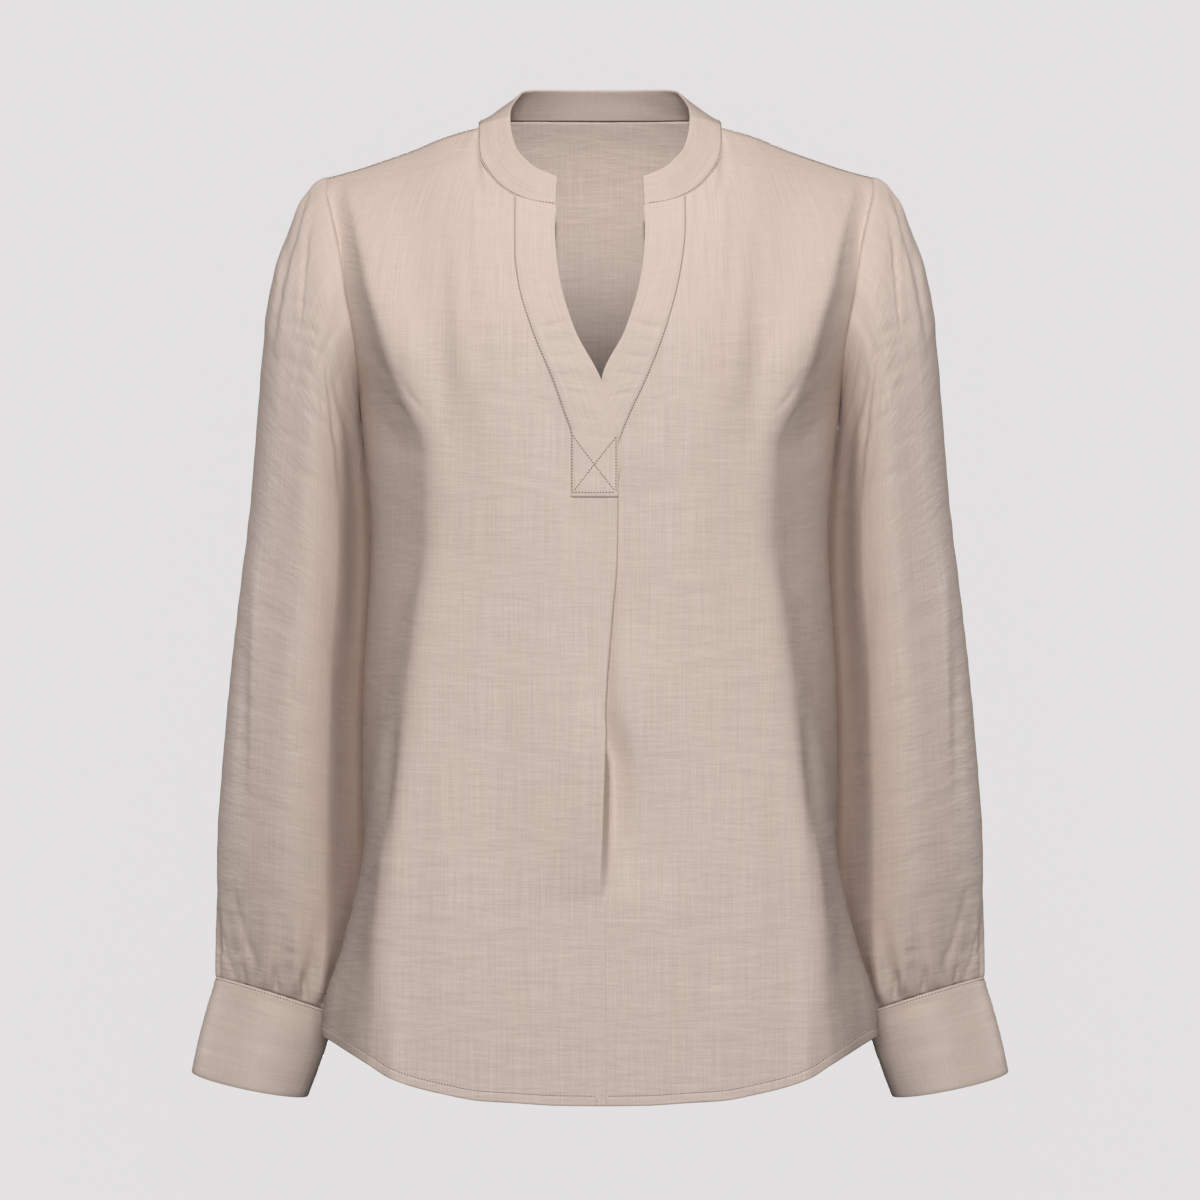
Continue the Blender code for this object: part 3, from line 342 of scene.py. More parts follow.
def normals_of(points: Array, quads: Array) -> Array:
    """The outward direction at each point: the sum of the cross products of its faces' diagonals.

    Args:
        points: the points.
        quads: the faces.

    Returns:
        A unit direction for each point.
    """
    first = points[quads[:, 2]] - points[quads[:, 0]]
    second = points[quads[:, 3]] - points[quads[:, 1]]
    face = np.cross(first, second)
    total = np.zeros_like(points)
    for k in range(4):
        np.add.at(total, quads[:, k], face)
    size = np.linalg.norm(total, axis=1, keepdims=True)
    return total / np.maximum(size, 1e-12)


def softened(values: Array, middle: int, reach: float, passes: int) -> Array:
    """Rounds off a corner across rows: each pass moves a row towards the mean of its neighbours.

    Args:
        values: values with the rows first.
        middle: the row of the corner.
        reach: how many rows away the rounding has faded to a third.
        passes: how often it is done.

    Returns:
        The rounded values.
    """
    share = np.exp(-((np.arange(len(values)) - middle) / reach) ** 2)
    share = share.reshape((-1,) + (1,) * (values.ndim - 1))[1:-1] / 2
    result = values.copy()
    for _ in range(passes):
        mean = (result[:-2] + result[2:]) / 2
        result[1:-1] += share * (mean - result[1:-1])
    return result


@dataclass
class Sheet:
    """A sheet of cloth as points, faces and thread places, which are metres across and along its threads."""

    points: Array
    quads: Array
    threads: Array

    def lift(self, by: Array) -> None:
        """Moves each point out along the sheet's own direction by its length in by."""
        self.points = self.points + normals_of(self.points, self.quads) * by[:, None]


@dataclass(frozen=True)
class Crease:
    """A soft trough, or a ridge where its depth is below zero, along a bowed line in a piece's plane."""

    start: tuple[float, float] | Array
    end: tuple[float, float] | Array
    depth: float
    width: float
    bow: float = 0.0

    def lift(self, u: Array, v: Array) -> Array:
        """How far the crease moves the cloth out: a bell across its line, faded in and out along it.

        Args:
            u: places across the piece.
            v: places up the piece.

        Returns:
            The move at each place, in metres.
        """
        run = np.subtract(self.end, self.start)
        length = float(np.hypot(*run))
        across = (u - self.start[0]) * run[1] / length - (v - self.start[1]) * run[0] / length
        share = ((u - self.start[0]) * run[0] + (v - self.start[1]) * run[1]) / length ** 2
        held = np.clip(share, 0.0, 1.0)
        off = across - self.bow * 4 * held * (1 - held)
        fade = ease(share, -0.1, 0.35) * (1 - ease(share, 0.60, 1.1))
        return -self.depth * np.exp(-(off / self.width) ** 2) * fade


CREASE_COLUMNS = ("from_x", "from_z", "to_x", "to_z", "depth", "width", "bow")  # in millimetres


def creased(creases: Table, u: Array, v: Array) -> Array:
    """The sum of several creases' moves.

    Args:
        creases: the creases, in millimetres.
        u: places across the piece.
        v: places up the piece.

    Returns:
        The move at each place.
    """
    total = np.zeros_like(u)
    for row in np.array(creases.rows) / MM_IN_METRE:
        total = total + Crease(row[0:2], row[2:4], *row[4:]).lift(u, v)
    return total


def crumple(u: Array, v: Array, seed: int, height: float = 0.00008) -> Array:
    """The light cloth's shallow crosswise crumples: a sum of long low waves, stronger in some places.

    Args:
        u: metres across the piece.
        v: metres up the piece.
        seed: which waves are drawn.
        height: the usual height of the crumples.

    Returns:
        The move at each place.
    """
    draw = np.random.default_rng(seed)
    total = np.zeros_like(u)
    for _ in range(26):
        across = draw.uniform(0.045, 0.120) * draw.choice((-1.0, 1.0))
        up = draw.uniform(0.013, 0.034)
        phase, where = draw.uniform(0, 2 * math.pi, 2)
        there = 0.5 + 0.5 * np.sin(u * 2 * math.pi / 0.17 + v * 2 * math.pi / 0.23 + where)
        total = total + np.sin(2 * math.pi * (u / across + v / up) + phase) * there ** 2
    return total * height / math.sqrt(26 * 0.375 / 2)


@dataclass(frozen=True)
class Cut:
    """The flat cut of what shows of a piece, and how its cloth is held."""

    flat: tuple[float, float]
    area: float
    held: Held = Held.HUNG
    rests_on: tuple[str, ...] = ()


def make_piece(name: str, sheet: Sheet, material: bpy.types.Material, thickness: float) -> bpy.types.Object:
    """Puts a sheet into a mesh with its thread map, and gives it its thickness both ways.

    Args:
        name: the piece's name.
        sheet: its points, faces and threads.
        material: its finish.
        thickness: how thick the cloth is.

    Returns:
        The piece.
    """
    mesh = bpy.data.meshes.new(name)
    mesh.from_pydata(sheet.points.tolist(), [], sheet.quads.tolist())
    mesh.shade_smooth()
    layer = mesh.uv_layers.new(name=UV_NAME)
    corner_points = np.zeros(len(mesh.loops), np.int32)
    mesh.loops.foreach_get("vertex_index", corner_points)
    layer.data.foreach_set("uv", sheet.threads[corner_points].astype(np.float32).ravel())
    mesh.materials.append(material)
    piece = bpy.data.objects.new(name, mesh)
    bpy.context.scene.collection.objects.link(piece)
    shell = piece.modifiers.new("cloth", "SOLIDIFY")
    shell.thickness = thickness
    shell.offset = 0.0
    return piece


def round_edges(piece: bpy.types.Object, width: float) -> None:
    """Rounds a thick piece's cut edges.

    Args:
        piece: the piece.
        width: how far the rounding reaches.
    """
    bevel = piece.modifiers.new("edge", "BEVEL")
    bevel.width = width
    bevel.segments = 2
    bevel.limit_method = "ANGLE"
    bevel.angle_limit = math.radians(50)
    bevel.harden_normals = False


def declare(piece: bpy.types.Object, node: str) -> None:
    """Sets a piece on the frame in place of its solid.

    Args:
        piece: the piece.
        node: the solid that it stands for.
    """
    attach(piece, BODY_NAME)
    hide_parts(node)
    LOG.info("%s: %d faces", piece.name, len(piece.data.polygons))


# The trunk's form

@dataclass
class TrunkForm:
    """The trunk in plan at each height, from the side seam round to the middle, front and back."""

    low: float = -0.700
    high: float = -0.165
    heights: int = 108
    side_steps: int = 40
    middle_steps: int = 60
    side_y: float = 0.004
    side_shares: tuple[float, ...] = (0.0, 0.24, 0.48, 0.72, 0.90, 1.0)
    middle_shares: tuple[float, ...] = (0.0, 0.07, 0.19, 0.30, 0.40, 0.50, 0.60, 0.70, 0.80, 0.90, 1.0)
    plans: dict[bool, tuple[Array, Array]] = field(default_factory=dict)

    def __post_init__(self) -> None:
        """Works out the plan at each height, once for the front and once for the back."""
        for is_front in (True, False):
            levels = np.linspace(self.low, self.high, self.heights)
            rows = [self._plan(float(z), is_front) for z in levels]
            self.plans[is_front] = (np.array([r[0] for r in rows]), np.array([r[1] for r in rows]))

    def _polygon(self, z: float, is_front: bool) -> tuple[list[Array], Array]:
        """The corners of half the plan at a height, and the one where its side turns to the front or back."""
        r = {name: float(TRUNK.read(name, z)) for name in TRUNK.columns[1:]}
        side = np.array((r["side_x"], self.side_y))
        if is_front:
            turn = np.array((r["turn_x"], r["turn_y"]))
            wide = np.array((r["wide_x"], r["wide_y"]))
            flat = np.array((r["turn_x"] * 0.5, r["front_y"]))
            corners = [side, np.array((r["dip_x"], r["dip_y"])), wide, towards(turn, wide, 0.016), turn,
                       towards(turn, flat, 0.030), flat, np.array((0.0, r["front_y"]))]
            return corners, turn
        near = np.array((r["side_x"] - 0.0030, 0.022))
        turn = np.array((r["back_x"], r["back_y"]))
        flat = np.array((r["back_x"] * 0.5, r["back_c"]))
        corners = [side, near, towards(turn, near, 0.034), turn, towards(turn, flat, 0.03), flat,
                   np.array((0.0, r["back_c"]))]
        return corners, turn

    def _plan(self, z: float, is_front: bool) -> tuple[Array, Array]:
        """Half a plan: even points from the side to the turn, and depths over even steps from there in."""
        corners, turn = self._polygon(z, is_front)
        line = soft_line(corners)
        at = int(np.argmin(np.linalg.norm(line - turn, axis=1)))
        run = running(line[:at + 1])
        even = np.linspace(0.0, run[-1], self.side_steps)
        side = np.stack([np.interp(even, run, line[:at + 1, i]) for i in range(2)], axis=1)
        steps = np.linspace(line[at, 0], 0.0, self.middle_steps)
        middle = np.interp(-steps, -line[at:, 0], line[at:, 1])
        return side, middle

    def at(self, is_front: bool, z: Array, column: Array, end_x: Array) -> tuple[Array, Array]:
        """Plan points, read between the heights and steps of the plans by shares of both.

        Args:
            is_front: the front or the back.
            z: heights.
            column: which column, 0 at the side seam, 5 at the turn and 15 at the end.
            end_x: where the last column stands.

        Returns:
            The points' x and y.
        """
        side, middle = self.plans[is_front]
        z, column, end_x = np.broadcast_arrays(z, column, end_x)
        level = np.clip((z - self.low) / (self.high - self.low), 0, 1) * (self.heights - 1)
        k = np.minimum(level.astype(int), self.heights - 2)
        up = level - k
        corner_count = len(self.side_shares)
        share = np.interp(column, np.arange(corner_count), self.side_shares) * (self.side_steps - 1)
        j = np.minimum(share.astype(int), self.side_steps - 2)
        over = (share - j)[..., None]
        low = side[k, j] * (1 - over) + side[k, j + 1] * over
        high = side[k + 1, j] * (1 - over) + side[k + 1, j + 1] * over
        beside = low * (1 - up[..., None]) + high * up[..., None]
        turn_x = side[k, -1, 0] * (1 - up) + side[k + 1, -1, 0] * up
        far = np.interp(column, corner_count - 1 + np.arange(len(self.middle_shares)), self.middle_shares)
        x = turn_x + (end_x - turn_x) * far
        share = (1 - np.abs(x) / turn_x) * (self.middle_steps - 1)
        j = np.clip(share.astype(int), 0, self.middle_steps - 2)
        over = share - j
        low = middle[k, j] * (1 - over) + middle[k, j + 1] * over
        high = middle[k + 1, j] * (1 - over) + middle[k + 1, j + 1] * over
        y = low * (1 - up) + high * up
        at_side = column <= corner_count - 1
        return np.where(at_side, beside[..., 0], x), np.where(at_side, beside[..., 1], y)


@dataclass
class Panel:
    """What the front and the back have in common: how their rows and columns run."""

    form: TrunkForm
    per_column: int = 5
    columns: int = 16
    row_step: float = 0.0034
    top_rows: int = 58
    armhole_fade: float = 4.0
    shoulder_shares: tuple[float, ...] = (0.0, 0.03, 0.06, 0.09, 0.12, 0.15, 0.27, 0.50, 0.75, 1.0)
    seam_roll: float = 0.0007
    seam_reach: float = 0.0022

    def column_places(self) -> Array:
        """Fine places of the columns, 0 at the side seam and 15 at the middle."""
        return np.linspace(0, self.columns - 1, (self.columns - 1) * self.per_column + 1)

    def hem_heights(self, is_front: bool) -> Array:
        """The hem's height at each fine column, from the hem's line in the photograph.

        Args:
            is_front: the front or the back.

        Returns:
            A height for each column.
        """
        x, y = self.form.at(is_front, np.array(-0.650), self.column_places(), np.array(0.0))
        if not is_front:
            return SIDE_HEM_Z + (BACK_HEM_Z - SIDE_HEM_Z) * (1 - np.minimum(x / 0.1785, 1.0) ** 2.6)
        wide_y = float(TRUNK.read("wide_y", -0.650))
        at_wide = float(FRONT_HEM.read("z", 0.195))
        round_side = at_wide + (SIDE_HEM_Z - at_wide) * ease(y, wide_y, self.form.side_y)
        return np.where(y > wide_y, round_side, FRONT_HEM.read("z", x))

    def levels(self, finer: tuple[tuple[float, float, float], ...]) -> Array:
        """Heights of the rows in the middle, from the hem to the chest, closer where a stretch asks for it.

        Args:
            finer: stretches as lowest height, highest height and step.

        Returns:
            The heights, going up.
        """
        even = np.arange(HEM_Z, CHEST_Z, self.row_step)
        parts = [np.arange(low, high, step) for low, high, step in finer]
        for low, high, _ in finer:
            even = even[(even < low - 0.0008) | (even > high + 0.0008)]
        return np.unique(np.concatenate([even, *parts, [CHEST_Z]]))

    def row_heights(self, levels: Array, hem: Array) -> Array:
        """Heights of all points: level in the middle, following the hem below and the underarm above.

        Args:
            levels: the rows' heights in the middle.
            hem: the hem's height at each column.

        Returns:
            A height for each row and column.
        """
        count = self.columns - 1
        column = self.column_places()
        share = np.where(column < 1, column * (0.15 + 0.85 / count),
                         np.minimum(0.15 + 0.85 * column / count, 1.0))
        low = np.clip((HEM_RISE_STARTS - levels) / (HEM_RISE_STARTS - HEM_Z), 0, 1)[:, None]
        high = np.clip((levels + 0.240) / (0.240 + CHEST_Z), 0, 1)[:, None]
        rise = (hem - HEM_Z)[None] * low ** 1.2
        return levels[:, None] + rise + (UNDERARM_Z - CHEST_Z) * (1 - share)[None] * high

    def upper(self, chest: Array, side: Side, is_front: bool, inner: Seam, rounding: float) -> Array:
        """Rows from the chest to the shoulder and the neckline.

        The patch is the blend of its armhole and middle edges, plus the blend of its chest and top edges,
        less the blend of its corners. In depth the armhole's dip fades faster than the rest.

        Args:
            chest: the points of the chest row, from the side seam in.
            side: which side.
            is_front: the front or the back.
            inner: the slit's edge or the back's middle.
            rounding: over 1 keeps the chest full and rounds the shoulder over.

        Returns:
            The points of all the rows, the chest row first.
        """
        flip = np.array([side.value, 1.0, 1.0])
        neck = FRONT_NECK if is_front else BACK_NECK
        armhole = FRONT_ARMHOLE if is_front else BACK_ARMHOLE
        column = self.column_places()
        shoulder_columns = len(self.shoulder_shares) - 1
        on_shoulder = column <= shoulder_columns
        shoulder_share = np.interp(column[on_shoulder], np.arange(shoulder_columns + 1), self.shoulder_shares)
        neck_share = (column[~on_shoulder] - shoulder_columns) / (self.columns - 1 - shoulder_columns)
        top = np.concatenate([along_seam(SHOULDER, shoulder_share), along_seam(neck, neck_share)]) * flip
        share = np.linspace(0, 1, self.top_rows + 1)
        left = along_seam(armhole, share) * flip
        right = along_seam(inner, share) * flip
        left[0] = chest[0]
        right[0] = chest[-1]
        u = np.repeat((running(chest) / running(chest)[-1])[:, None], 3, axis=1)
        u[:, 1] = 1 - (1 - u[:, 1]) ** self.armhole_fade
        w = np.repeat(share[:, None], 3, axis=1)
        w[:, 1] = share ** rounding
        u, w = u[None], w[:, None]
        ends = (1 - u) * left[:, None] + u * right[:, None]
        sides = (1 - w) * chest[None] + w * top[None]
        low = (1 - u) * chest[0] + u * chest[-1]
        high = (1 - u) * top[0] + u * top[-1]
        return ends + sides - (1 - w) * low - w * high

    def threads_of(self, half: Array, beside: float) -> Array:
        """The thread map of one half: the way run in plan from the middle, and the way run up each column.

        Args:
            half: the half's points, hem first, side seam or armhole first.
            beside: how far the map is set aside.

        Returns:
            Metres across and up at each point.
        """
        way = np.sign(half[0, 0, 0])
        plan = running(half[:, ::-1] * np.array([1.0, 1.0, 0.0]), axis=1)[:, ::-1]
        across = half[:, -1:, 0] + way * plan + beside
        up = running(half * np.array([0.0, 1.0, 1.0]), axis=0) + half[:1, :, 2]
        return np.stack([across, up], axis=-1)

    def rolled(self, grid: Array, rows_below: int) -> Array:
        """How far the cloth turns in at its side, armhole and shoulder seams: a bell of the distance to each.

        Args:
            grid: one half's points, hem first, side seam or armhole first.
            rows_below: how many rows lie below the chest.

        Returns:
            The move in at each point.
        """
        from_side = running(grid, axis=1)
        total = -self.seam_roll * np.exp(-(from_side / self.seam_reach) ** 2)
        from_top = running(grid[::-1], axis=0)[::-1]
        last = self.column_places() <= len(self.shoulder_shares) - 1
        top = -self.seam_roll * np.exp(-(from_top / self.seam_reach) ** 2) * last[None]
        top[:rows_below] = 0.0
        return np.minimum(total, top)

    def hemmed(self, grid: Array) -> Array:
        """The hem's double cloth: a low step up to its stitching and a fine groove under the stitches.

        Args:
            grid: one half's points, hem first.

        Returns:
            The move out at each point.
        """
        up = running(grid, axis=0)
        step = 0.00030 * (1 - ease(up, HEM_WIDTH - 0.0004, HEM_WIDTH + 0.0010))
        return step - 0.00030 * np.exp(-((up - HEM_WIDTH) / 0.0010) ** 2)


FRONT_CREASES = Table(CREASE_COLUMNS, (
    (112, -60, 108.5, -215, 0.9, 6, 2), (101, -75, 99, -190, -0.5, 5, 0),
    (166, -150, 136, -196, 0.5, 3.4, 3), (146, -168, 131, -190, 0.5, 1.5, 1),
    (142, -178, 125, -198, 0.6, 1.4, 1), (137, -186, 118, -203, 0.5, 1.3, 1),
    (150, -187, 129, -211, 0.5, 1.6, 2), (162, -198, 138, -226, 0.5, 3, 3),
    (158, -220, 132, -250, -0.4, 5, -3), (85, -4, 80, -48, 1.1, 2.2, 1), (90.5, -8, 88, -40, 0.6, 1.8, 1),
    (79, -36, 76, -60, 0.5, 1.5, 0), (42, -202, 24, -204.5, 0.9, 1.4, 0.6),
    (56, -186, 33, -196, 0.5, 1.6, 1.2), (39, -212.5, 15, -211, 0.8, 1.3, -0.6),
    (128, -300, 150, -360, 0.8, 6, 3), (134, -372, 160, -500, -1.6, 5.5, -5),
    (145, -380, 156, -560, 1.4, 4.5, 3), (157, -540, 171, -640, -1.1, 4.5, -2),
    (164, -560, 175, -635, 0.9, 3.2, 2), (178, -585, 186, -640, 0.7, 2.6, 0),
    (70, -300, 90, -560, 0.7, 13, 6), (42, -380, 50, -660, -0.6, 12, -4),
    (112, -420, 116, -640, -0.8, 10, 3),
))
ONE_SIDED_CREASES = Table(CREASE_COLUMNS, (
    (-8, -330, -7, -480, 0.6, 4.5, 0), (-16, -262, -30, -275, 0.4, 1.4, 0),
    (20, -262, 33, -272, 0.4, 1.4, 0),
))
PLEAT_CREASES = Table(CREASE_COLUMNS, (
    (29, -340, 24, -560, -0.8, 9, 1), (7, -300, 6, -420, 1.2, 4, 0.5),
))
BACK_CREASES = Table(CREASE_COLUMNS, (
    (135, -120, 115, -330, 1.3, 8, 8), (155, -165, 125, -235, 1.2, 3.8, 4),
    (160, -200, 132, -270, 1, 4.5, 3), (88, -60, 94, -300, -0.9, 11, -4), (78, 0, 83, -50, 0.8, 2.4, 0),
    (56, -240, 70, -520, 1.1, 12, 6), (120, -330, 135, -600, 1.2, 8, -4),
    (20, -330, 30, -620, 0.9, 13, 3), (148, -420, 152, -600, -0.9, 6, 2),
))


@dataclass
class FrontPanel(Panel):
    """The front: two halves joined below the slit, with one knife pleat between them."""

    rounding: float = 1.9
    spread: float = 0.075       # how far the pleat's step spreads into each half
    open_depth: float = 1.0     # how much deeper the right half lies beside the pleat's foot, where it opens
    open_reach: float = 0.020
    bend_steps: int = 6
    flat_width: float = 0.0040   # width of the strip between the halves where there is no pleat
    slit_levels: tuple[float, ...] = (0.178, 0.1974, 0.2163, 0.240)
    slit_places: tuple[float, ...] = (0.0014, 0.0084, 0.0126, 0.0126)
    cut: Cut = Cut((0.620, 0.735), 0.318)

    def pleat_row(self, z: float) -> tuple[Array, float, float, float]:
        """The pleat in plan at a height: an arc forward and under, a straight run, and an arc back.

        Args:
            z: the height.

        Returns:
            Its points from the left half's edge to the right one's, how far each half moves in depth, and
            its turn.
        """
        r = {name: float(PLEAT.read(name, z)) for name in PLEAT.columns[1:]}
        turn = math.radians(r["turn"])
        bend, depth = r["bend"], r["depth"]
        a = turn * np.arange(self.bend_steps + 1) / self.bend_steps
        open_share = 1 - float(ease(r["turn"], 105.0, 140.0))
        near, far = bend * (1 - 0.6 * open_share), bend * (1 + 0.3 * open_share)
        first = near * np.stack([np.sin(a), 1 - np.cos(a)], axis=1)
        run = first[-1] + np.array([depth * math.cos(turn), depth * math.sin(turn)])
        middle = (first[-1:] + run) / 2
        b = a[::-1]
        turned = np.stack([math.sin(turn) - np.sin(b), np.cos(b) - math.cos(turn)], axis=1) * far
        points = np.concatenate([first, middle, run + turned])
        rise = (near + far) * (1 - math.cos(turn)) + depth * math.sin(turn)
        points[:, 0] += r["edge_x"] - points[:, 0].max() * (1 - open_share)
        return points, -rise * r["rise"], rise * (1 - r["rise"]), r["turn"]

    def ripple(self, x: Array, z: Array) -> Array:
        """The front's own soft folds: a valley beside each armhole and flutes at the hem's corners."""
        valley = -0.0022 * np.exp(-((x - 0.108) / 0.012) ** 2)
        valley = valley * ease(-z, 0.060, 0.110) * (1 - ease(-z, 0.190, 0.250))
        flute = 0.0016 * np.cos((x - 0.172) * 2 * math.pi / 0.030)
        return valley + flute * ease(-z, 0.590, 0.660) * ease(x, 0.120, 0.150)

    def half(self, side: Side, levels: Array, ends: Array, shifts: Array) -> Array:
        """One half below the chest.

        Args:
            side: which side.
            levels: the rows' heights.
            ends: where each row's last column stands.
            shifts: how far each row's middle moves in depth for the pleat.

        Returns:
            The points, hem first, side seam first.
        """
        column = self.column_places()
        z = self.row_heights(levels, self.hem_heights(True))
        x, y = self.form.at(True, z, column[None], side.value * ends[:, None])
        away = np.abs(side.value * x - ends[:, None])
        near = 1 - ease(away, 0.0, self.spread)
        if side is Side.RIGHT:
            opened = (ease(-levels, 0.330, 0.400) * (1 - ease(-levels, 0.400, 0.520)))[:, None]
            near = near * (1 - opened) + self.open_depth * (1 - ease(away, 0.0, self.open_reach)) * opened
        at_tab = int(np.argmin(np.abs(levels + 0.2583)))
        soft = softened(shifts, at_tab, 14.0, 160)
        y = y - self.ripple(np.abs(x), z) + soft[:, None] * near * (column[None] > 5)
        return np.stack([side.value * x, y, z], axis=-1)

    def build(self) -> tuple[Sheet, dict[str, Array]]:
        """Works out the front.

        Returns:
            The sheet, and the grids of point numbers of its left and right halves.
        """
        levels = self.levels(((HEM_Z, -0.6720, 0.0012), (-0.2640, -0.2360, 0.0014)))
        pleats = [self.pleat_row(float(z)) for z in levels]
        strip = np.array([p[0] for p in pleats])
        above = levels > -0.2420
        slit = np.interp(-levels, self.slit_levels, self.slit_places)
        slack = self.flat_width * (1 - ease(np.array([p[3] for p in pleats]), 0.0, 60.0)) / 2
        left_ends = np.where(above, slit, strip[:, 0, 0]) - slack
        right_ends = np.where(above, slit, strip[:, -1, 0]) + slack
        left = self.half(Side.LEFT, levels, left_ends, np.array([p[1] for p in pleats]))
        right = self.half(Side.RIGHT, levels, right_ends, np.array([p[2] for p in pleats]))
        edge = [(-x if i else x, y, z) for i, (x, y, z) in enumerate(SLIT_EDGE)]
        flipped_edge = tuple((-x, y, z) for x, y, z in edge)
        upper_left = self.upper(left[-1], Side.LEFT, True, flipped_edge, self.rounding)
        upper_right = self.upper(right[-1], Side.RIGHT, True, SLIT_EDGE, self.rounding)
        left = np.concatenate([left, upper_left[1:]])
        right = np.concatenate([right, upper_right[1:]])
        rows, columns = left.shape[:2]
        below = len(levels)
        for half in (left, right):
            half[:, 1:-1] = softened(half[:, 1:-1], below, 8.0, 70)
        turned = strip - strip[:, :1]
        share = np.linspace(0, 1, strip.shape[1])
        first, last = left[:below, -1], right[:below, -1]
        turned = np.where(above[:, None, None], 0.0, turned)
        left_over = (last - first)[:, :2] - turned[:, -1]
        plan = first[:, None, :2] + turned + left_over[:, None] * share[None, :, None]
        height = first[:, None, 2:] + (last - first)[:, None, 2:] * share[None, :, None]
        inner = np.concatenate([plan, height], axis=2)[:, 1:-1]
        left_index = numbered(rows, columns)
        right_index = numbered(rows, columns, rows * columns)
        strip_index = numbered(below, inner.shape[1], 2 * rows * columns)
        strip_index = np.concatenate([left_index[:below, -1:], strip_index, right_index[:below, -1:]], axis=1)
        points = np.concatenate([left.reshape(-1, 3), right.reshape(-1, 3), inner.reshape(-1, 3)])
        quads = np.concatenate([quads_of(left_index), quads_of(right_index, turned=True),
                                quads_of(strip_index)])
        left_threads = self.threads_of(left, 0.0)
        right_threads = self.threads_of(right, 0.03)
        across = running(np.concatenate([first[:, None], inner], axis=1), axis=1)[:, 1:] + first[:, :1]
        up = np.repeat(left_threads[:below, -1:, 1], inner.shape[1], axis=1)
        strip_threads = np.stack([across, up], axis=-1)
        threads = np.concatenate([part.reshape(-1, 2)
                                  for part in (left_threads, right_threads, strip_threads)])
        sheet = Sheet(points, quads, threads)
        sheet.lift(self.folds(sheet, (left, right), below))
        return sheet, {"left": left_index, "right": right_index}

    def folds(self, sheet: Sheet, halves: tuple[Array, Array], below: int) -> Array:
        """All the front's fine moves: creases, crumples, rolled seams and the hem.

        Args:
            sheet: the sheet before they are added.
            halves: the points of the left and the right half.
            below: how many rows lie below the chest.

        Returns:
            The move out at each point.
        """
        x, z = sheet.points[:, 0], sheet.points[:, 2]
        total = creased(FRONT_CREASES, np.abs(x), z)
        away = ease(np.abs(x - 0.006), 0.004, 0.012)
        total = (total + creased(ONE_SIDED_CREASES, x, z)) * away
        total = total + crumple(sheet.threads[:, 0], sheet.threads[:, 1], 11) * away
        on_right = np.zeros_like(x)
        on_right[halves[0].shape[0] * halves[0].shape[1]:][:halves[1].shape[0] * halves[1].shape[1]] = 1.0
        total = total + creased(PLEAT_CREASES, x, z) * on_right
        seams = np.concatenate([(self.rolled(half, below) + self.hemmed(half)).ravel() for half in halves])
        strip = np.zeros(len(total) - len(seams))
        return total + np.concatenate([seams, strip])


@dataclass
class BackPanel(Panel):
    """The back: one plain panel."""

    rounding: float = 2.2
    cut: Cut = Cut((0.640, 0.735), 0.303)

    def half(self, side: Side, levels: Array) -> Array:
        """One half below the chest, with long flutes that deepen towards the hem.

        Args:
            side: which side.
            levels: the rows' heights.

        Returns:
            The points, hem first, side seam first.
        """
        z = self.row_heights(levels, self.hem_heights(False))
        x, y = self.form.at(False, z, self.column_places()[None], np.zeros_like(z))
        flute = 0.0040 * np.cos(x * 2 * math.pi / 0.110)
        flute = flute * ease(-z, 0.330, 0.620) * (1 - ease(x, 0.120, 0.165))
        return np.stack([side.value * x, y + flute, z], axis=-1)

    def build(self) -> tuple[Sheet, Array]:
        """Works out the back.

        Returns:
            The sheet and its grid of point numbers, from the viewer's right side seam to the left one.
        """
        levels = self.levels(((HEM_Z, -0.6720, 0.0012),))
        halves = []
        for side in (Side.RIGHT, Side.LEFT):
            lower = self.half(side, levels)
            upper = self.upper(lower[-1], side, False, BACK_MIDDLE, self.rounding)
            half = np.concatenate([lower, upper[1:]])
            half[:, 1:] = softened(half[:, 1:], len(levels), 8.0, 70)
            halves.append(half)
        right, left = halves
        grid = np.concatenate([right, left[:, -2::-1]], axis=1)
        index = numbered(*grid.shape[:2])
        threads = np.concatenate([self.threads_of(right, 0.0), self.threads_of(left, 0.0)[:, -2::-1]], axis=1)
        across, up = threads[..., 0], threads[..., 1]
        sheet = Sheet(grid.reshape(-1, 3), quads_of(index), threads.reshape(-1, 2))
        moves = [self.rolled(half, len(levels)) + self.hemmed(half) for half in halves]
        seams = np.concatenate([moves[0], moves[1][:, -2::-1]], axis=1).ravel()
        x, z = sheet.points[:, 0], sheet.points[:, 2]
        total = creased(BACK_CREASES, np.abs(x), z) + crumple(across.ravel(), up.ravel(), 12)
        sheet.lift(total + seams)
        return sheet, index


# The sleeves and cuffs

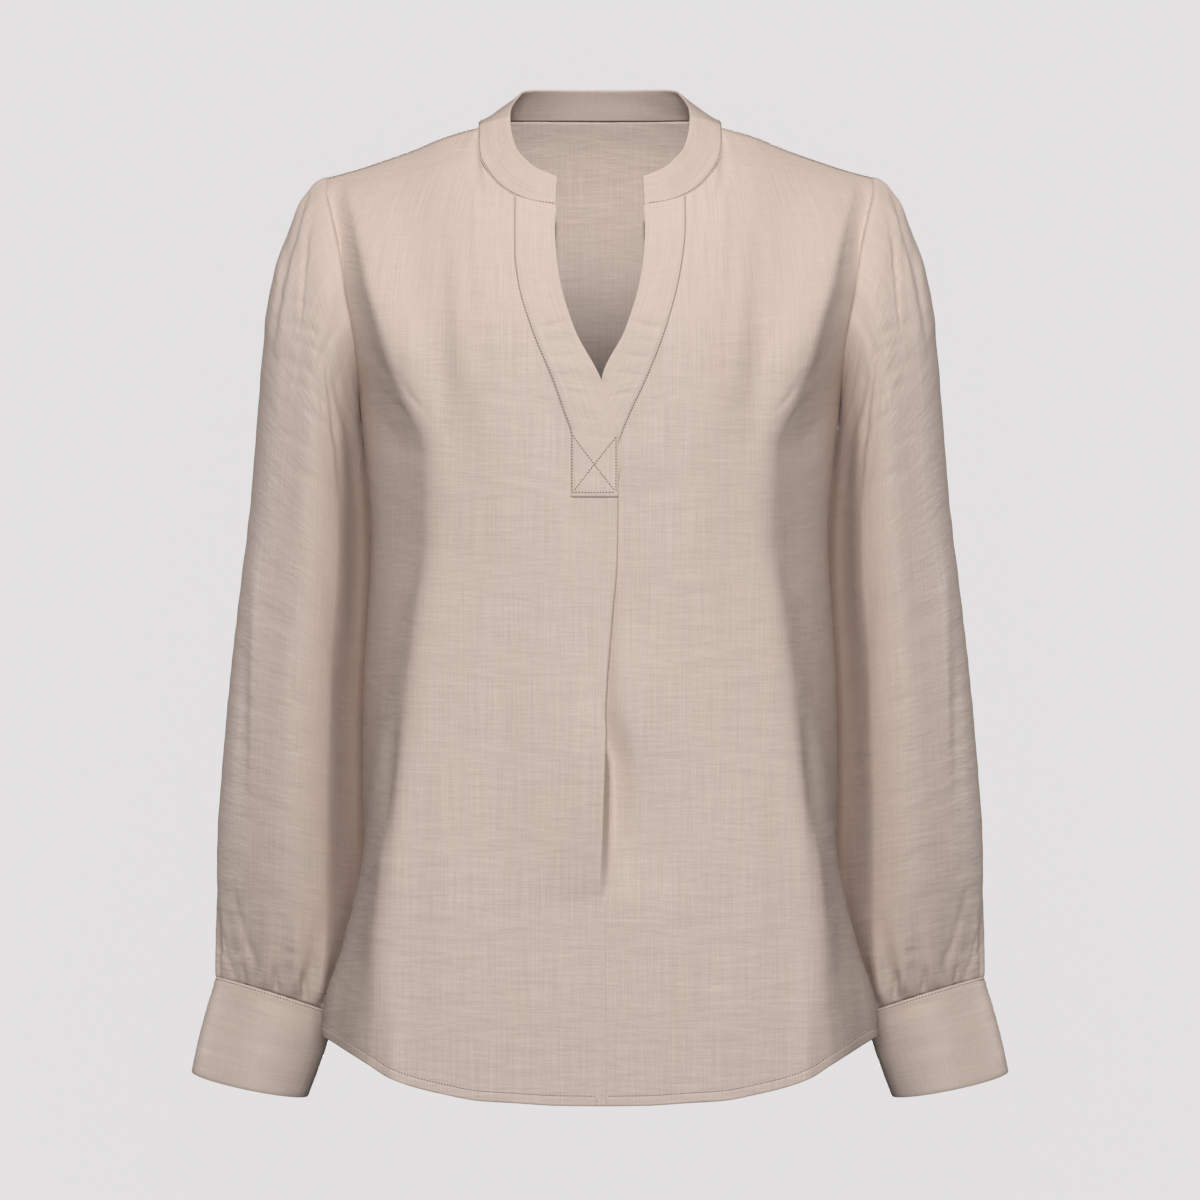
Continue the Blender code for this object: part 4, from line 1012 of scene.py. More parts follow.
SLEEVE = Table(
    ("ring", "outer_x", "outer_z", "inner_x", "inner_z", "front_y", "back_y", "tuck", "gather"),
    (
        (0, 0.1930, -0.0345, 0.1702, -0.1900, -0.0545, 0.0560, 0.0, 0.0),
        (1, 0.2010, -0.0382, 0.1714, -0.1950, -0.0575, 0.0590, 0.0030, 0.0007),
        (2, 0.2100, -0.0488, 0.1720, -0.2015, -0.0600, 0.0625, 0.0060, 0.0006),
        (3, 0.2173, -0.0655, 0.1722, -0.2090, -0.0615, 0.0665, 0.0080, 0.0),
        (4, 0.2257, -0.0890, 0.1716, -0.2190, -0.0620, 0.0710, 0.0100, 0.0),
        (5, 0.2325, -0.1180, 0.1702, -0.2310, -0.0610, 0.0760, 0.0110, 0.0),
        (6, 0.2367, -0.1580, 0.1697, -0.2500, -0.0590, 0.0820, 0.0120, 0.0),
        (7, 0.2408, -0.2080, 0.1687, -0.2780, -0.0550, 0.0880, 0.0130, 0.0),
        (8, 0.2455, -0.2650, 0.1680, -0.3150, -0.0500, 0.0930, 0.0130, 0.0),
        (9, 0.2528, -0.3250, 0.1695, -0.3610, -0.0440, 0.0970, 0.0120, 0.0),
        (10, 0.2596, -0.3850, 0.1715, -0.4130, -0.0380, 0.0990, 0.0110, 0.0),
        (11, 0.2650, -0.4450, 0.1725, -0.4690, -0.0300, 0.0990, 0.0140, 0.0),
        (12, 0.2688, -0.5000, 0.1720, -0.5220, -0.0200, 0.0970, 0.0150, 0.0),
        (13, 0.2690, -0.5400, 0.1725, -0.5590, -0.0100, 0.0930, 0.0140, 0.0),
        (14, 0.2686, -0.5640, 0.1750, -0.5840, -0.0020, 0.0890, 0.0100, 0.0014),
        (15, 0.2680, -0.5810, 0.1790, -0.6030, 0.0050, 0.0845, 0.0030, 0.0024),
        (16, 0.2685, -0.5910, 0.1825, -0.6150, 0.0100, 0.0810, 0.0010, 0.0020),
        (17, 0.2694, -0.5966, 0.1866, -0.6228, 0.0145, 0.0780, 0.0, 0.0007),
    ),
)
CUFF = Table(
    ("ring", "outer_x", "outer_z", "inner_x", "inner_z", "front_y", "back_y", "tilt"),
    (
        (0, 0.2694, -0.5972, 0.1864, -0.6234, 0.0145, 0.0780, 0.0020),
        (1, 0.2762, -0.6190, 0.1930, -0.6430, 0.0140, 0.0785, 0.0),
        (2, 0.2820, -0.6410, 0.1993, -0.6610, 0.0135, 0.0790, -0.0020),
        (3, 0.2866, -0.6625, 0.2060, -0.6790, 0.0130, 0.0795, -0.0040),
    ),
)
SLEEVE_CREASES = Table(CREASE_COLUMNS, (
    (193, -150, 188.5, -200, 1.4, 1.6, 0), (196.5, -165, 193.5, -206, 0.9, 1.3, 0),
    (188.5, -178, 185.5, -226, 1.4, 1.8, 0), (185, -200, 181.5, -262, 1.6, 2.2, 0),
    (233, -118, 193, -131, 0.6, 2.2, 3), (230, -135, 190, -150, 0.8, 1.9, 4),
    (218, -148, 186, -166, 0.7, 1.5, 3), (234, -160, 198, -176, 0.5, 2.4, 4),
    (224, -176, 190, -196, 0.7, 1.8, 4), (212, -196, 184, -214, 0.7, 1.5, 2),
    (232, -212, 196, -232, 0.5, 2.2, 4), (220, -238, 188, -256, 0.5, 1.9, 3),
    (238, -392, 202, -407, 0.4, 2.2, 3), (230, -436, 196, -430, 0.4, 2, -3),
    (240, -502, 208, -518, 0.4, 2.2, 3), (206, -62, 215, -170, 3, 2.6, 2),
    (212, -72, 219.5, -150, 1.3, 1.4, 1), (219.5, -62, 226.5, -122, 1.1, 1.4, 1),
    (201, -85, 206.5, -135, 0.9, 1.4, 1), (215, -120, 221, -240, 1.2, 4, 1),
    (201, -34, 215, -85, 1.7, 1.6, -2), (198, -40, 209, -105, 1.6, 1.6, -1),
    (206, -44, 222, -115, 1.7, 1.8, -2), (214, -62, 230, -160, 1.8, 2.4, -2),
    (189, -165, 180, -205, 2, 3, 1), (185, -140, 200, -178, 0.7, 2.4, -2),
    (179, -180, 172, -260, 1.6, 3.5, 0), (200, -205, 182, -270, 0.8, 4, 2),
    (193, -300, 183, -440, 1.1, 6, 3), (242, -300, 244, -500, -2, 4.8, 2),
    (244, -490, 256, -552, -1.6, 4, 2), (250, -360, 252, -500, 1.2, 4, 1),
    (257, -530, 239, -590, 1.5, 2.6, -3), (266, -560, 256, -597, 1.2, 1.3, -1),
    (269, -572, 261, -588, 0.9, 1.1, 1), (260, -576, 250, -583, 0.7, 1.1, 1),
    (251.5, -584, 248.5, -606, 2, 1.7, 0), (229, -588, 226.2, -613, 2.6, 1.8, 0.3),
    (224.5, -577, 210.5, -582, 0.8, 1.1, 1), (222, -586, 214, -590, 0.7, 1, -1),
    (215.2, -598, 213.3, -619, 1.8, 1.6, 0), (208.5, -590, 206.2, -622, 2.5, 1.8, 0.3),
    (201, -575, 198.5, -618, 1, 1.5, 0),
))
SLEEVE_BACK_CREASES = Table(CREASE_COLUMNS, (
    (205, -60, 218, -180, 1.3, 3.4, 2), (190, -150, 210, -240, 1.2, 3.6, -3),
    (245, -290, 205, -350, 1.6, 5, 5), (248, -340, 210, -385, 1.4, 4.5, 4),
    (230, -400, 238, -570, 1.2, 6, 3), (210, -430, 215, -600, -1.1, 5, 2),
    (252, -560, 246, -605, 1.4, 1.8, 0), (228, -565, 226, -612, 1.7, 1.8, 0),
    (205, -560, 203, -618, 1.3, 1.8, 0),
))


def ring_points(table: Table, row: int, angles: Array) -> Array:
    """Points round a ring: its middle, plus the cosine of the angle outward and the sine forward.

    Args:
        table: the sleeve's or the cuff's rings.
        row: which ring.
        angles: 0 on the outer side, a quarter turn in front.

    Returns:
        A point for each angle.
    """
    r = dict(zip(table.columns, table.rows[row]))
    outer = np.array([r["outer_x"], 0.0, r["outer_z"]])
    inner = np.array([r["inner_x"], 0.0, r["inner_z"]])
    middle = (outer + inner) / 2 + np.array([0.0, (r["front_y"] + r["back_y"]) / 2, 0.0])
    forward = np.array([0.0, (r["front_y"] - r["back_y"]) / 2, 0.0])
    return middle + np.cos(angles)[:, None] * (outer - inner) / 2 + np.sin(angles)[:, None] * forward


@dataclass
class Sleeve:
    """A long set-in sleeve, gathered a little over its cap and fully at the wrist."""

    side: Side
    round_steps: int = 192
    row_step: float = 0.0031
    tuck_at: float = 228.0       # degrees round where it tucks in behind the trunk
    blend_rings: float = 6.0     # rings over which the armhole's own shape fades out
    cuff_tilt: float = 0.0020
    gathers: int = 14
    cap_reach: float = 75.0      # degrees each side of the shoulder that are gathered
    hollow: float = 0.038        # how far its inner side falls back beside the trunk
    hollow_span: tuple[float, ...] = (125.0, 160.0, 200.0, 240.0)  # degrees round, in and out again
    girth: float = 0.36          # usual length round, for the threads
    lap: float = 0.0012          # how far it goes in under the trunk's edge
    cut: Cut = Cut((0.430, 0.600), 0.180, Held.GATHERED)

    def rings(self, angles: Array) -> Array:
        """The sleeve's rings from the armhole to the cuff, with its gathers as waves round the ring.

        Args:
            angles: the places round.

        Returns:
            A row of points for each ring.
        """
        quarter = self.round_steps // 2
        share = np.arange(quarter + 1) / quarter
        front = along_seam(FRONT_ARMHOLE, 1 - share)
        back = along_seam(BACK_ARMHOLE, share[1:])
        armhole = np.concatenate([front, back])[:-1]
        armhole[:, 0] -= self.lap
        first = ring_points(SLEEVE, 0, angles)
        wave = np.cos(self.gathers * angles) * (0.75 + 0.25 * np.cos(3 * angles + 0.7))
        at_cap = ease(np.cos(angles), math.cos(math.radians(self.cap_reach)), 0.45)
        rows = []
        for i in range(len(SLEEVE.rows)):
            r = dict(zip(SLEEVE.columns, SLEEVE.rows[i]))
            points = ring_points(SLEEVE, i, angles) + (armhole - first) * (1 - ease(i, 0, self.blend_rings))
            points[:, 0] -= r["tuck"] * np.maximum(np.cos(angles - math.radians(self.tuck_at)), 0.0) ** 2
            turn = np.degrees(angles)
            fallen = ease(turn, *self.hollow_span[:2]) * (1 - ease(turn, *self.hollow_span[2:]))
            points[:, 1] += self.hollow * fallen * ease(i, 3, 8) * (1 - ease(i, 14, 17))
            points[:, 2] += self.cuff_tilt * ease(i, 13, len(SLEEVE.rows) - 1) * np.sin(angles)
            spokes = points - points.mean(axis=0)
            spokes = spokes / np.linalg.norm(spokes, axis=1, keepdims=True)
            height = r["gather"] * wave * (at_cap if i <= 3 else 1.0)
            rows.append(points + spokes * height[:, None])
        return np.array(rows)

    def build(self) -> Sheet:
        """Works out the sleeve: its rings joined smoothly, then creased.

        Returns:
            The sheet.
        """
        angles = np.arange(self.round_steps) * 2 * math.pi / self.round_steps
        rings = self.rings(angles)
        keys = running(rings, axis=0).mean(axis=1)
        fine = np.linspace(0, keys[-1], int(keys[-1] / self.row_step))
        grid = through_rows(keys, rings, fine)
        index = numbered(*grid.shape[:2])
        across = np.repeat((angles / (2 * math.pi) * self.girth)[None], len(fine), axis=0)
        along = np.repeat(fine[:, None], self.round_steps, axis=1)
        sheet = Sheet(grid.reshape(-1, 3), quads_of(index, closed=True),
                      np.stack([across, -along], axis=-1).reshape(-1, 2))
        x, z = sheet.points[:, 0], sheet.points[:, 2]
        in_front = ease(np.sin(angles), -0.15, 0.15)
        in_front = np.repeat(in_front[None], len(fine), axis=0).ravel()
        total = creased(SLEEVE_CREASES, x, z) * in_front + creased(SLEEVE_BACK_CREASES, x, z) * (1 - in_front)
        round_wave = np.cos(angles)[None] * self.girth / 6
        total = total + crumple((round_wave + 0 * along).ravel(), along.ravel(), 13, FINE_CRUMPLE)
        from_seam = along.ravel()
        from_cuff = keys[-1] - from_seam
        total = total * ease(from_seam, 0.0, 0.006) * ease(from_cuff, -0.004, 0.006)
        total = total + 0.0005 * np.exp(-((from_seam - 0.0032) / 0.0020) ** 2)
        total = total - 0.0008 * np.exp(-(from_cuff / 0.0022) ** 2)
        sheet.lift(total)
        return turned_to(sheet, self.side)


@dataclass
class Cuff:
    """A wide plain cuff of two cloths with a stiffener between them."""

    side: Side
    round_steps: int = 112
    rows: int = 34
    lap: float = 0.0014           # how far it laps the sleeve's end
    cut: Cut = Cut((0.235, 0.066), 0.0150, Held.HUNG)

    def build(self) -> tuple[Sheet, Array]:
        """Works out the cuff: four rings joined smoothly, with faint crosswise ripples under its seam.

        Returns:
            The sheet and its grid of point numbers.
        """
        angles = np.arange(self.round_steps) * 2 * math.pi / self.round_steps
        rings = np.array([ring_points(CUFF, i, angles) for i in range(len(CUFF.rows))])
        rings[:, :, 2] += CUFF.column("tilt")[:, None] * np.sin(angles)[None]
        up = rings[0] - rings[1]
        rings[0] = rings[0] + up / np.linalg.norm(up, axis=1, keepdims=True) * self.lap
        keys = running(rings, axis=0).mean(axis=1)
        fine = np.linspace(0, keys[-1], self.rows)
        grid = through_rows(keys, rings, fine)
        index = numbered(*grid.shape[:2])
        girth = float(running(np.concatenate([grid[0], grid[0][:1]]))[-1])
        across = np.repeat((angles / (2 * math.pi) * girth)[None], self.rows, axis=0)
        along = np.repeat(fine[:, None], self.round_steps, axis=1)
        sheet = Sheet(grid.reshape(-1, 3), quads_of(index, closed=True),
                      np.stack([-along, across + 0.5], axis=-1).reshape(-1, 2))
        from_top, from_foot = along.ravel(), keys[-1] - along.ravel()
        wander = 9 * np.cos(2 * across.ravel() * 2 * math.pi / girth)
        ripple = 0.00022 * np.sin(from_top * 2 * math.pi / 0.0052 + wander)
        total = ripple * (1 - ease(from_top, 0.008, 0.030))
        total = total + crumple(across.ravel(), along.ravel(), 14, FINE_CRUMPLE)
        total = total + 0.0004 * np.exp(-((from_top - 0.003) / 0.002) ** 2)
        total = total - 0.0004 * np.exp(-(from_foot / 0.0015) ** 2)
        sheet.lift(total)
        return turned_to(sheet, self.side), index


def turned_to(sheet: Sheet, side: Side) -> Sheet:
    """A sheet made for the viewer's right, mirrored if it is for the left, with its faces still outward.

    Args:
        sheet: the sheet on the right.
        side: the side that it is for.

    Returns:
        The sheet on its side.
    """
    if side is Side.RIGHT:
        return sheet
    return Sheet(sheet.points * MIRROR, sheet.quads[:, ::-1], sheet.threads * np.array([-1.0, 1.0]))


# The collar and the placket bands

@dataclass
class StandCollar:
    """The stand collar, open in front: a band from the neckline up to its own top edge."""

    front_steps: int = 54
    back_steps: int = 50
    rows: int = 12
    foot_lap: float = 0.0010      # how far it laps the neck edge
    stand_off: float = 0.0005     # how far it stands out over the neck edge
    top_front: Seam = ((0.0628, -0.003, 0.00875), (0.0624, -0.0105, 0.0021), (0.0609, -0.0195, -0.0060),
                       (0.0588, -0.0265, -0.0126), (0.0554, -0.0325, -0.0180), (0.0514, -0.0370, -0.0221),
                       (0.0462, -0.0410, -0.0266), (0.0394, -0.0440, -0.0301), (0.0298, -0.0458, -0.0338))
    top_back: Seam = ((0.0628, -0.003, 0.00875), (0.0622, 0.006, 0.0141), (0.0602, 0.0145, 0.0189),
                      (0.0571, 0.0225, 0.0235), (0.0534, 0.0295, 0.0268), (0.0450, 0.0375, 0.0278),
                      (0.0300, 0.0455, 0.0280), (0.0150, 0.0492, 0.0280), (0.0, 0.0502, 0.0280))
    cut: Cut = Cut((0.395, 0.026), 0.0092)

    def whole(self, front: Seam, back: Seam) -> Array:
        """A line from the left front end round the back to the right one, from its right half.

        Args:
            front: the front part from the shoulder to the front end.
            back: the back part from the shoulder to the middle.

        Returns:
            The line's points.
        """
        ahead = along_seam(front, np.linspace(0, 1, self.front_steps + 1))[::-1]
        behind = along_seam(back, np.linspace(0, 1, self.back_steps + 1))[1:]
        half = np.concatenate([ahead, behind])
        return np.concatenate([half * MIRROR, half[-2::-1]])

    def build(self) -> tuple[Sheet, Array]:
        """Works out the collar: straight lines from its foot to its top edge, bowed out a little.

        Returns:
            The sheet and its grid of point numbers.
        """
        foot = self.whole(FRONT_NECK, BACK_NECK)
        top = self.whole(self.top_front, self.top_back)
        up = top - foot
        up = up / np.linalg.norm(up, axis=1, keepdims=True)
        share = np.linspace(0, 1, self.rows + 1)[:, None, None]
        grid = (foot - up * self.foot_lap)[None] * (1 - share) + top[None] * share
        index = numbered(*grid.shape[:2])
        across = np.repeat(running(foot)[None], self.rows + 1, axis=0)
        along = np.repeat(np.linspace(0, 0.024, self.rows + 1)[:, None], grid.shape[1], axis=1)
        sheet = Sheet(grid.reshape(-1, 3), quads_of(index, turned=True),
                      np.stack([along, across + 1.0], axis=-1).reshape(-1, 2))
        height = np.repeat(share[:, 0, :], grid.shape[1], axis=1)
        bow = (0.0006 * np.sin(math.pi * height) + self.stand_off * (1 - ease(height, 0.0, 0.3))).ravel()
        sheet.lift(bow + crumple(across.ravel(), along.ravel(), 15, FINE_CRUMPLE))
        return sheet, index


def height_over(points: Array, normals: Array, x: Array, z: Array) -> tuple[Array, Array]:
    """The depth of a sheet under places in front view.

    Each place takes the mean of the planes that touch the sheet at its nearest points, with more weight on
    the nearer ones.

    Args:
        points: the sheet's points near there.
        normals: its directions at those points.
        x: places across.
        z: places up.

    Returns:
        The depth and the sheet's direction at each place.
    """
    away = (x[:, None] - points[None, :, 0]) ** 2 + (z[:, None] - points[None, :, 2]) ** 2
    near = np.argpartition(away, 8, axis=1)[:, :8]
    weight = 1 / (np.take_along_axis(away, near, axis=1) + 1e-7)
    weight = weight / weight.sum(axis=1, keepdims=True)
    place, way = points[near], normals[near]
    slope_x, slope_z = -way[..., 0] / way[..., 1], -way[..., 2] / way[..., 1]
    depth = place[..., 1] + slope_x * (x[:, None] - place[..., 0]) + slope_z * (z[:, None] - place[..., 2])
    direction = (way * weight[..., None]).sum(axis=1)
    direction = direction / np.linalg.norm(direction, axis=1, keepdims=True)
    return (depth * weight).sum(axis=1), direction


@dataclass
class PlacketBand:
    """A placket band laid on the front along one side of the slit: its points are the front's, moved out."""

    side: Side
    edges: Table
    foot: float
    top: tuple[float, float] = (-0.0470, -0.0545)
    across_steps: int = 20
    down_steps: int = 120
    climbs: bool = False
    climb: tuple[float, float] = (0.148, 0.170)  # heights over which it climbs over the other band
    raise_by: float = 0.00120
    lift: float = 0.00085
    cut: Cut = Cut((0.032, 0.215), 0.0068)
    fold: Crease = Crease((0.0220, -0.2163), (-0.0120, -0.2163), 0.00030, 0.0009)  # across the tab's top
    creases: Table = Table(CREASE_COLUMNS, (
        (56, -75, 36, -77, 0.3, 1.4, -0.8), (50, -90, 33, -92, 0.5, 1.4, -0.8),
        (54, -105, 38, -103, 0.4, 1.2, 0.6), (52, -117, 30, -118.5, 0.6, 1.4, -1),
        (48, -129, 32, -127.5, 0.4, 1.2, -0.6), (44, -140, 22, -135, 0.8, 1.5, -1.2),
        (40, -150, 24, -148, 0.5, 1.2, -0.8), (36, -161, 15, -158, 0.5, 1.3, -0.8),
        (30, -174, 11, -172, 0.4, 1.2, 0.6), (26, -186, 6, -188, 0.4, 1.3, 0.8),
    ))

    def build(self, front: Sheet, index: Array) -> tuple[Sheet, Array]:
        """Works out the band.

        Args:
            front: the front's sheet.
            index: the point numbers of the half that it lies on.

        Returns:
            The sheet and its grid of point numbers.
        """
        share = np.linspace(0, 1, self.across_steps + 1)[None]
        down = np.linspace(0, 1, self.down_steps + 1)[:, None]
        top_z = self.top[0] + (self.top[1] - self.top[0]) * share ** 0.7
        z = top_z + (self.foot - top_z) * down
        outer = self.edges.read("outer_x", z)
        x = outer + (self.edges.read("inner_x", z) - outer) * share
        used = index.ravel()
        points, normals = front.points[used], normals_of(front.points, front.quads)[used]
        close = (np.abs(points[:, 0]) < 0.085) & (points[:, 2] > -0.285)
        depth, direction = height_over(points[close], normals[close], x.ravel(), z.ravel())
        edge = np.minimum(share, 1 - share) * BAND_WIDTH + 0 * z
        open_side = share * BAND_WIDTH + 0 * z
        cushion = self.lift * (0.72 + 0.28 * ease(edge, 0.0, 0.0022))
        cushion = cushion * (0.25 + 0.75 * ease(open_side, 0.0, 0.0030))
        if self.climbs:
            cushion = cushion + self.raise_by * ease(-z, *self.climb)
        folds = creased(self.creases, np.abs(x), z)
        if self.climbs:
            folds = folds + self.fold.lift(np.abs(x), z)
        move = (cushion + folds).ravel()[:, None]
        sheet_points = np.stack([x.ravel(), depth, z.ravel()], axis=1) + direction * move
        grid_index = numbered(*z.shape)
        grid = sheet_points.reshape(*z.shape, 3)
        across = running(grid, axis=1) + 0.7
        along = -running(grid, axis=0)
        sheet = Sheet(sheet_points, quads_of(grid_index, turned=self.side is Side.LEFT),
                      np.stack([across, along], axis=-1).reshape(-1, 2))
        return sheet, grid_index


LEFT_EDGES = Table(
    ("z", "outer_x", "inner_x"),
    ((-0.0400, -0.0602, -0.0290), (-0.0525, -0.0602, -0.0300), (-0.0714, -0.0602, -0.0315),
     (-0.0854, -0.0602, -0.0308), (-0.1064, -0.0580, -0.0280), (-0.1414, -0.0480, -0.0175),
     (-0.1764, -0.0335, 0.0010), (-0.1974, -0.0262, 0.0084), (-0.2163, -0.0203, 0.0126),
     (-0.2583, -0.0203, 0.0126)),
)
RIGHT_EDGES = Table(
    ("z", "outer_x", "inner_x"),
    ((-0.0400, 0.0602, 0.0290), (-0.0525, 0.0602, 0.0300), (-0.0714, 0.0602, 0.0315),
     (-0.0854, 0.0590, 0.0308), (-0.1064, 0.0555, 0.0280), (-0.1414, 0.0460, 0.0175),
     (-0.1764, 0.0325, 0.0012), (-0.1974, 0.0225, 0.0004), (-0.2135, 0.0155, 0.0026),
     (-0.2230, 0.0122, 0.0030)),
)


# Sewing

@dataclass
class Stitches:
    """A run of machine stitches: short rounded lengths of thread between dots of painted needle-hole shade.
    """

    pitch: float = 0.0021
    thread: float = 0.00018       # half the thread's width
    share: float = 0.50           # how much of the pitch the thread covers
    hole: float = 0.00056         # half the width of a needle hole's painted shade
    sunk: float = 0.25
    lines: list[tuple[Array, Array]] = field(default_factory=list)

    def add(self, path: Array, normals: Array) -> None:
        """Adds a line of stitches.

        Args:
            path: the points that it follows, on the cloth's outer face.
            normals: the cloth's direction at each of them.
        """
        self.lines.append((path, normals))

    def places(self, shift: float) -> tuple[Array, Array, Array]:
        """Even places along all the lines.

        Args:
            shift: where in each pitch the places are, from 0 to 1.

        Returns:
            Their middles, the lines' directions and the cloth's directions.
        """
        middles, ways, ups = [], [], []
        for path, normals in self.lines:
            run = running(path)
            count = max(2, int(round(run[-1] / self.pitch)))
            at = (np.arange(count) + shift) / count * run[-1]
            step = self.pitch * 0.3
            here = np.stack([np.interp(at, run, path[:, i]) for i in range(3)], axis=1)
            ahead = np.stack([np.interp(at + step, run, path[:, i]) for i in range(3)], axis=1)
            behind = np.stack([np.interp(at - step, run, path[:, i]) for i in range(3)], axis=1)
            up = np.stack([np.interp(at, run, normals[:, i]) for i in range(3)], axis=1)
            way = ahead - behind
            middles.append(here)
            ways.append(way / np.linalg.norm(way, axis=1, keepdims=True))
            ups.append(up / np.linalg.norm(up, axis=1, keepdims=True))
        return np.concatenate(middles), np.concatenate(ways), np.concatenate(ups)

    def beads(self, name: str, shift: float, half: tuple[float, float, float], lift: float,
              material: bpy.types.Material) -> bpy.types.Object:
        """A joined mesh of one small rounded bead at each place.

        The bead is a six-sided ring of points at three stations of a half circle, with a point at each end.

        Args:
            name: the piece's name.
            shift: where in each pitch the beads are.
            half: half its length, width and height.
            lift: how far its middle stands over the line.
            material: its finish.

        Returns:
            The piece.
        """
        middles, ways, ups = self.places(shift)
        sides = np.cross(ups, ways)
        stations = np.array([-0.75, 0.0, 0.75])
        sizes = np.sqrt(1 - stations ** 2)
        turn = np.arange(6) * math.pi / 3
        ringed = np.stack([np.repeat(stations, 6), np.outer(sizes, np.cos(turn)).ravel(),
                           np.outer(sizes, np.sin(turn)).ravel()], axis=1)
        bead = np.concatenate([ringed, [[-1.0, 0.0, 0.0], [1.0, 0.0, 0.0]]]) * np.array(half)
        axes = np.stack([ways, sides, ups], axis=1)
        points = middles[:, None] + ups[:, None] * lift + np.einsum("bk,skc->sbc", bead, axes)
        k = np.arange(6)
        n = (k + 1) % 6
        first = np.stack([k, n, n + 6, k + 6], 1)
        body = np.concatenate([first, first + 6])
        tips = np.concatenate([np.stack([n, k, np.full(6, 18)], 1),
                               np.stack([k + 12, n + 12, np.full(6, 19)], 1)])
        count = len(middles)
        offset = (np.arange(count) * len(bead))[:, None, None]
        quads = (body[None] + offset).reshape(-1, 4)[:, ::-1]
        triangles = (tips[None] + offset).reshape(-1, 3)[:, ::-1]
        mesh = bpy.data.meshes.new(name)
        mesh.from_pydata(points.reshape(-1, 3).tolist(), [], quads.tolist() + triangles.tolist())
        mesh.shade_smooth()
        mesh.materials.append(material)
        piece = bpy.data.objects.new(name, mesh)
        bpy.context.scene.collection.objects.link(piece)
        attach(piece, BODY_NAME)
        LOG.info("%s: %d beads", name, count)
        return piece

    def build(self, name: str, thread: bpy.types.Material,
              shade: bpy.types.Material) -> list[bpy.types.Object]:
        """Makes the thread of all the lines, and a dot of painted shade at each needle hole.

        Args:
            name: the name that both pieces start with.
            thread: the thread's finish.
            shade: the finish of the painted needle-hole shade.

        Returns:
            The two pieces.
        """
        length = self.pitch * self.share / 2
        stitches = self.beads(name + "_thread", 0.5, (length, self.thread, self.thread),
                              self.thread * self.sunk, thread)
        # Each needle hole is a dark bead on the cloth: painted shade, not a real hole.
        hole_shade = self.beads(name + "_holes", 0.0, (self.hole, self.hole * 0.75, self.hole * 0.40), 0.0, shade)
        return [stitches, hole_shade]


def line_on(sheet: Sheet, index: Array, row: float, column: float, to_row: float, to_column: float,
            lift: float, count: int = 160) -> tuple[Array, Array]:
    """A straight line across a sheet's own grid, raised to its outer face.

    Args:
        sheet: the sheet.
        index: its grid of point numbers.
        row: first place down the grid.
        column: first place across the grid.
        to_row: last place down.
        to_column: last place across.
        lift: how far the outer face stands over the sheet.
        count: points on the line.

    Returns:
        The line's points and the sheet's directions there.
    """
    normals = normals_of(sheet.points, sheet.quads)
    r = np.clip(np.linspace(row, to_row, count), 0, index.shape[0] - 1.001)
    c = np.clip(np.linspace(column, to_column, count), 0, index.shape[1] - 1.001)
    i, j = r.astype(int), c.astype(int)
    a, b = (r - i)[:, None], (c - j)[:, None]
    out = []
    for values in (sheet.points, normals):
        low = values[index[i, j]] * (1 - b) + values[index[i, j + 1]] * b
        high = values[index[i + 1, j]] * (1 - b) + values[index[i + 1, j + 1]] * b
        out.append(low * (1 - a) + high * a)
    return out[0] + out[1] * lift, out[1]


def hem_line(sheet: Sheet, index: Array, lift: float) -> tuple[Array, Array]:
    """The line of the hem's stitching: on each column of the grid, the place a hem's width above its edge.

    Args:
        sheet: the sheet.
        index: its grid of point numbers, hem first.
        lift: how far the outer face stands over the sheet.

    Returns:
        The line's points and the sheet's directions there.
    """
    normals = normals_of(sheet.points, sheet.quads)
    rows = index[:24]
    up = running(sheet.points[rows], axis=0)
    k = np.argmax(up > HEM_WIDTH, axis=0)
    c = np.arange(rows.shape[1])
    share = ((HEM_WIDTH - up[k - 1, c]) / (up[k, c] - up[k - 1, c]))[:, None]
    low, high = rows[k - 1, c], rows[k, c]
    points = sheet.points[low] * (1 - share) + sheet.points[high] * share
    way = normals[low] * (1 - share) + normals[high] * share
    return points + way * lift, way


# Finishes

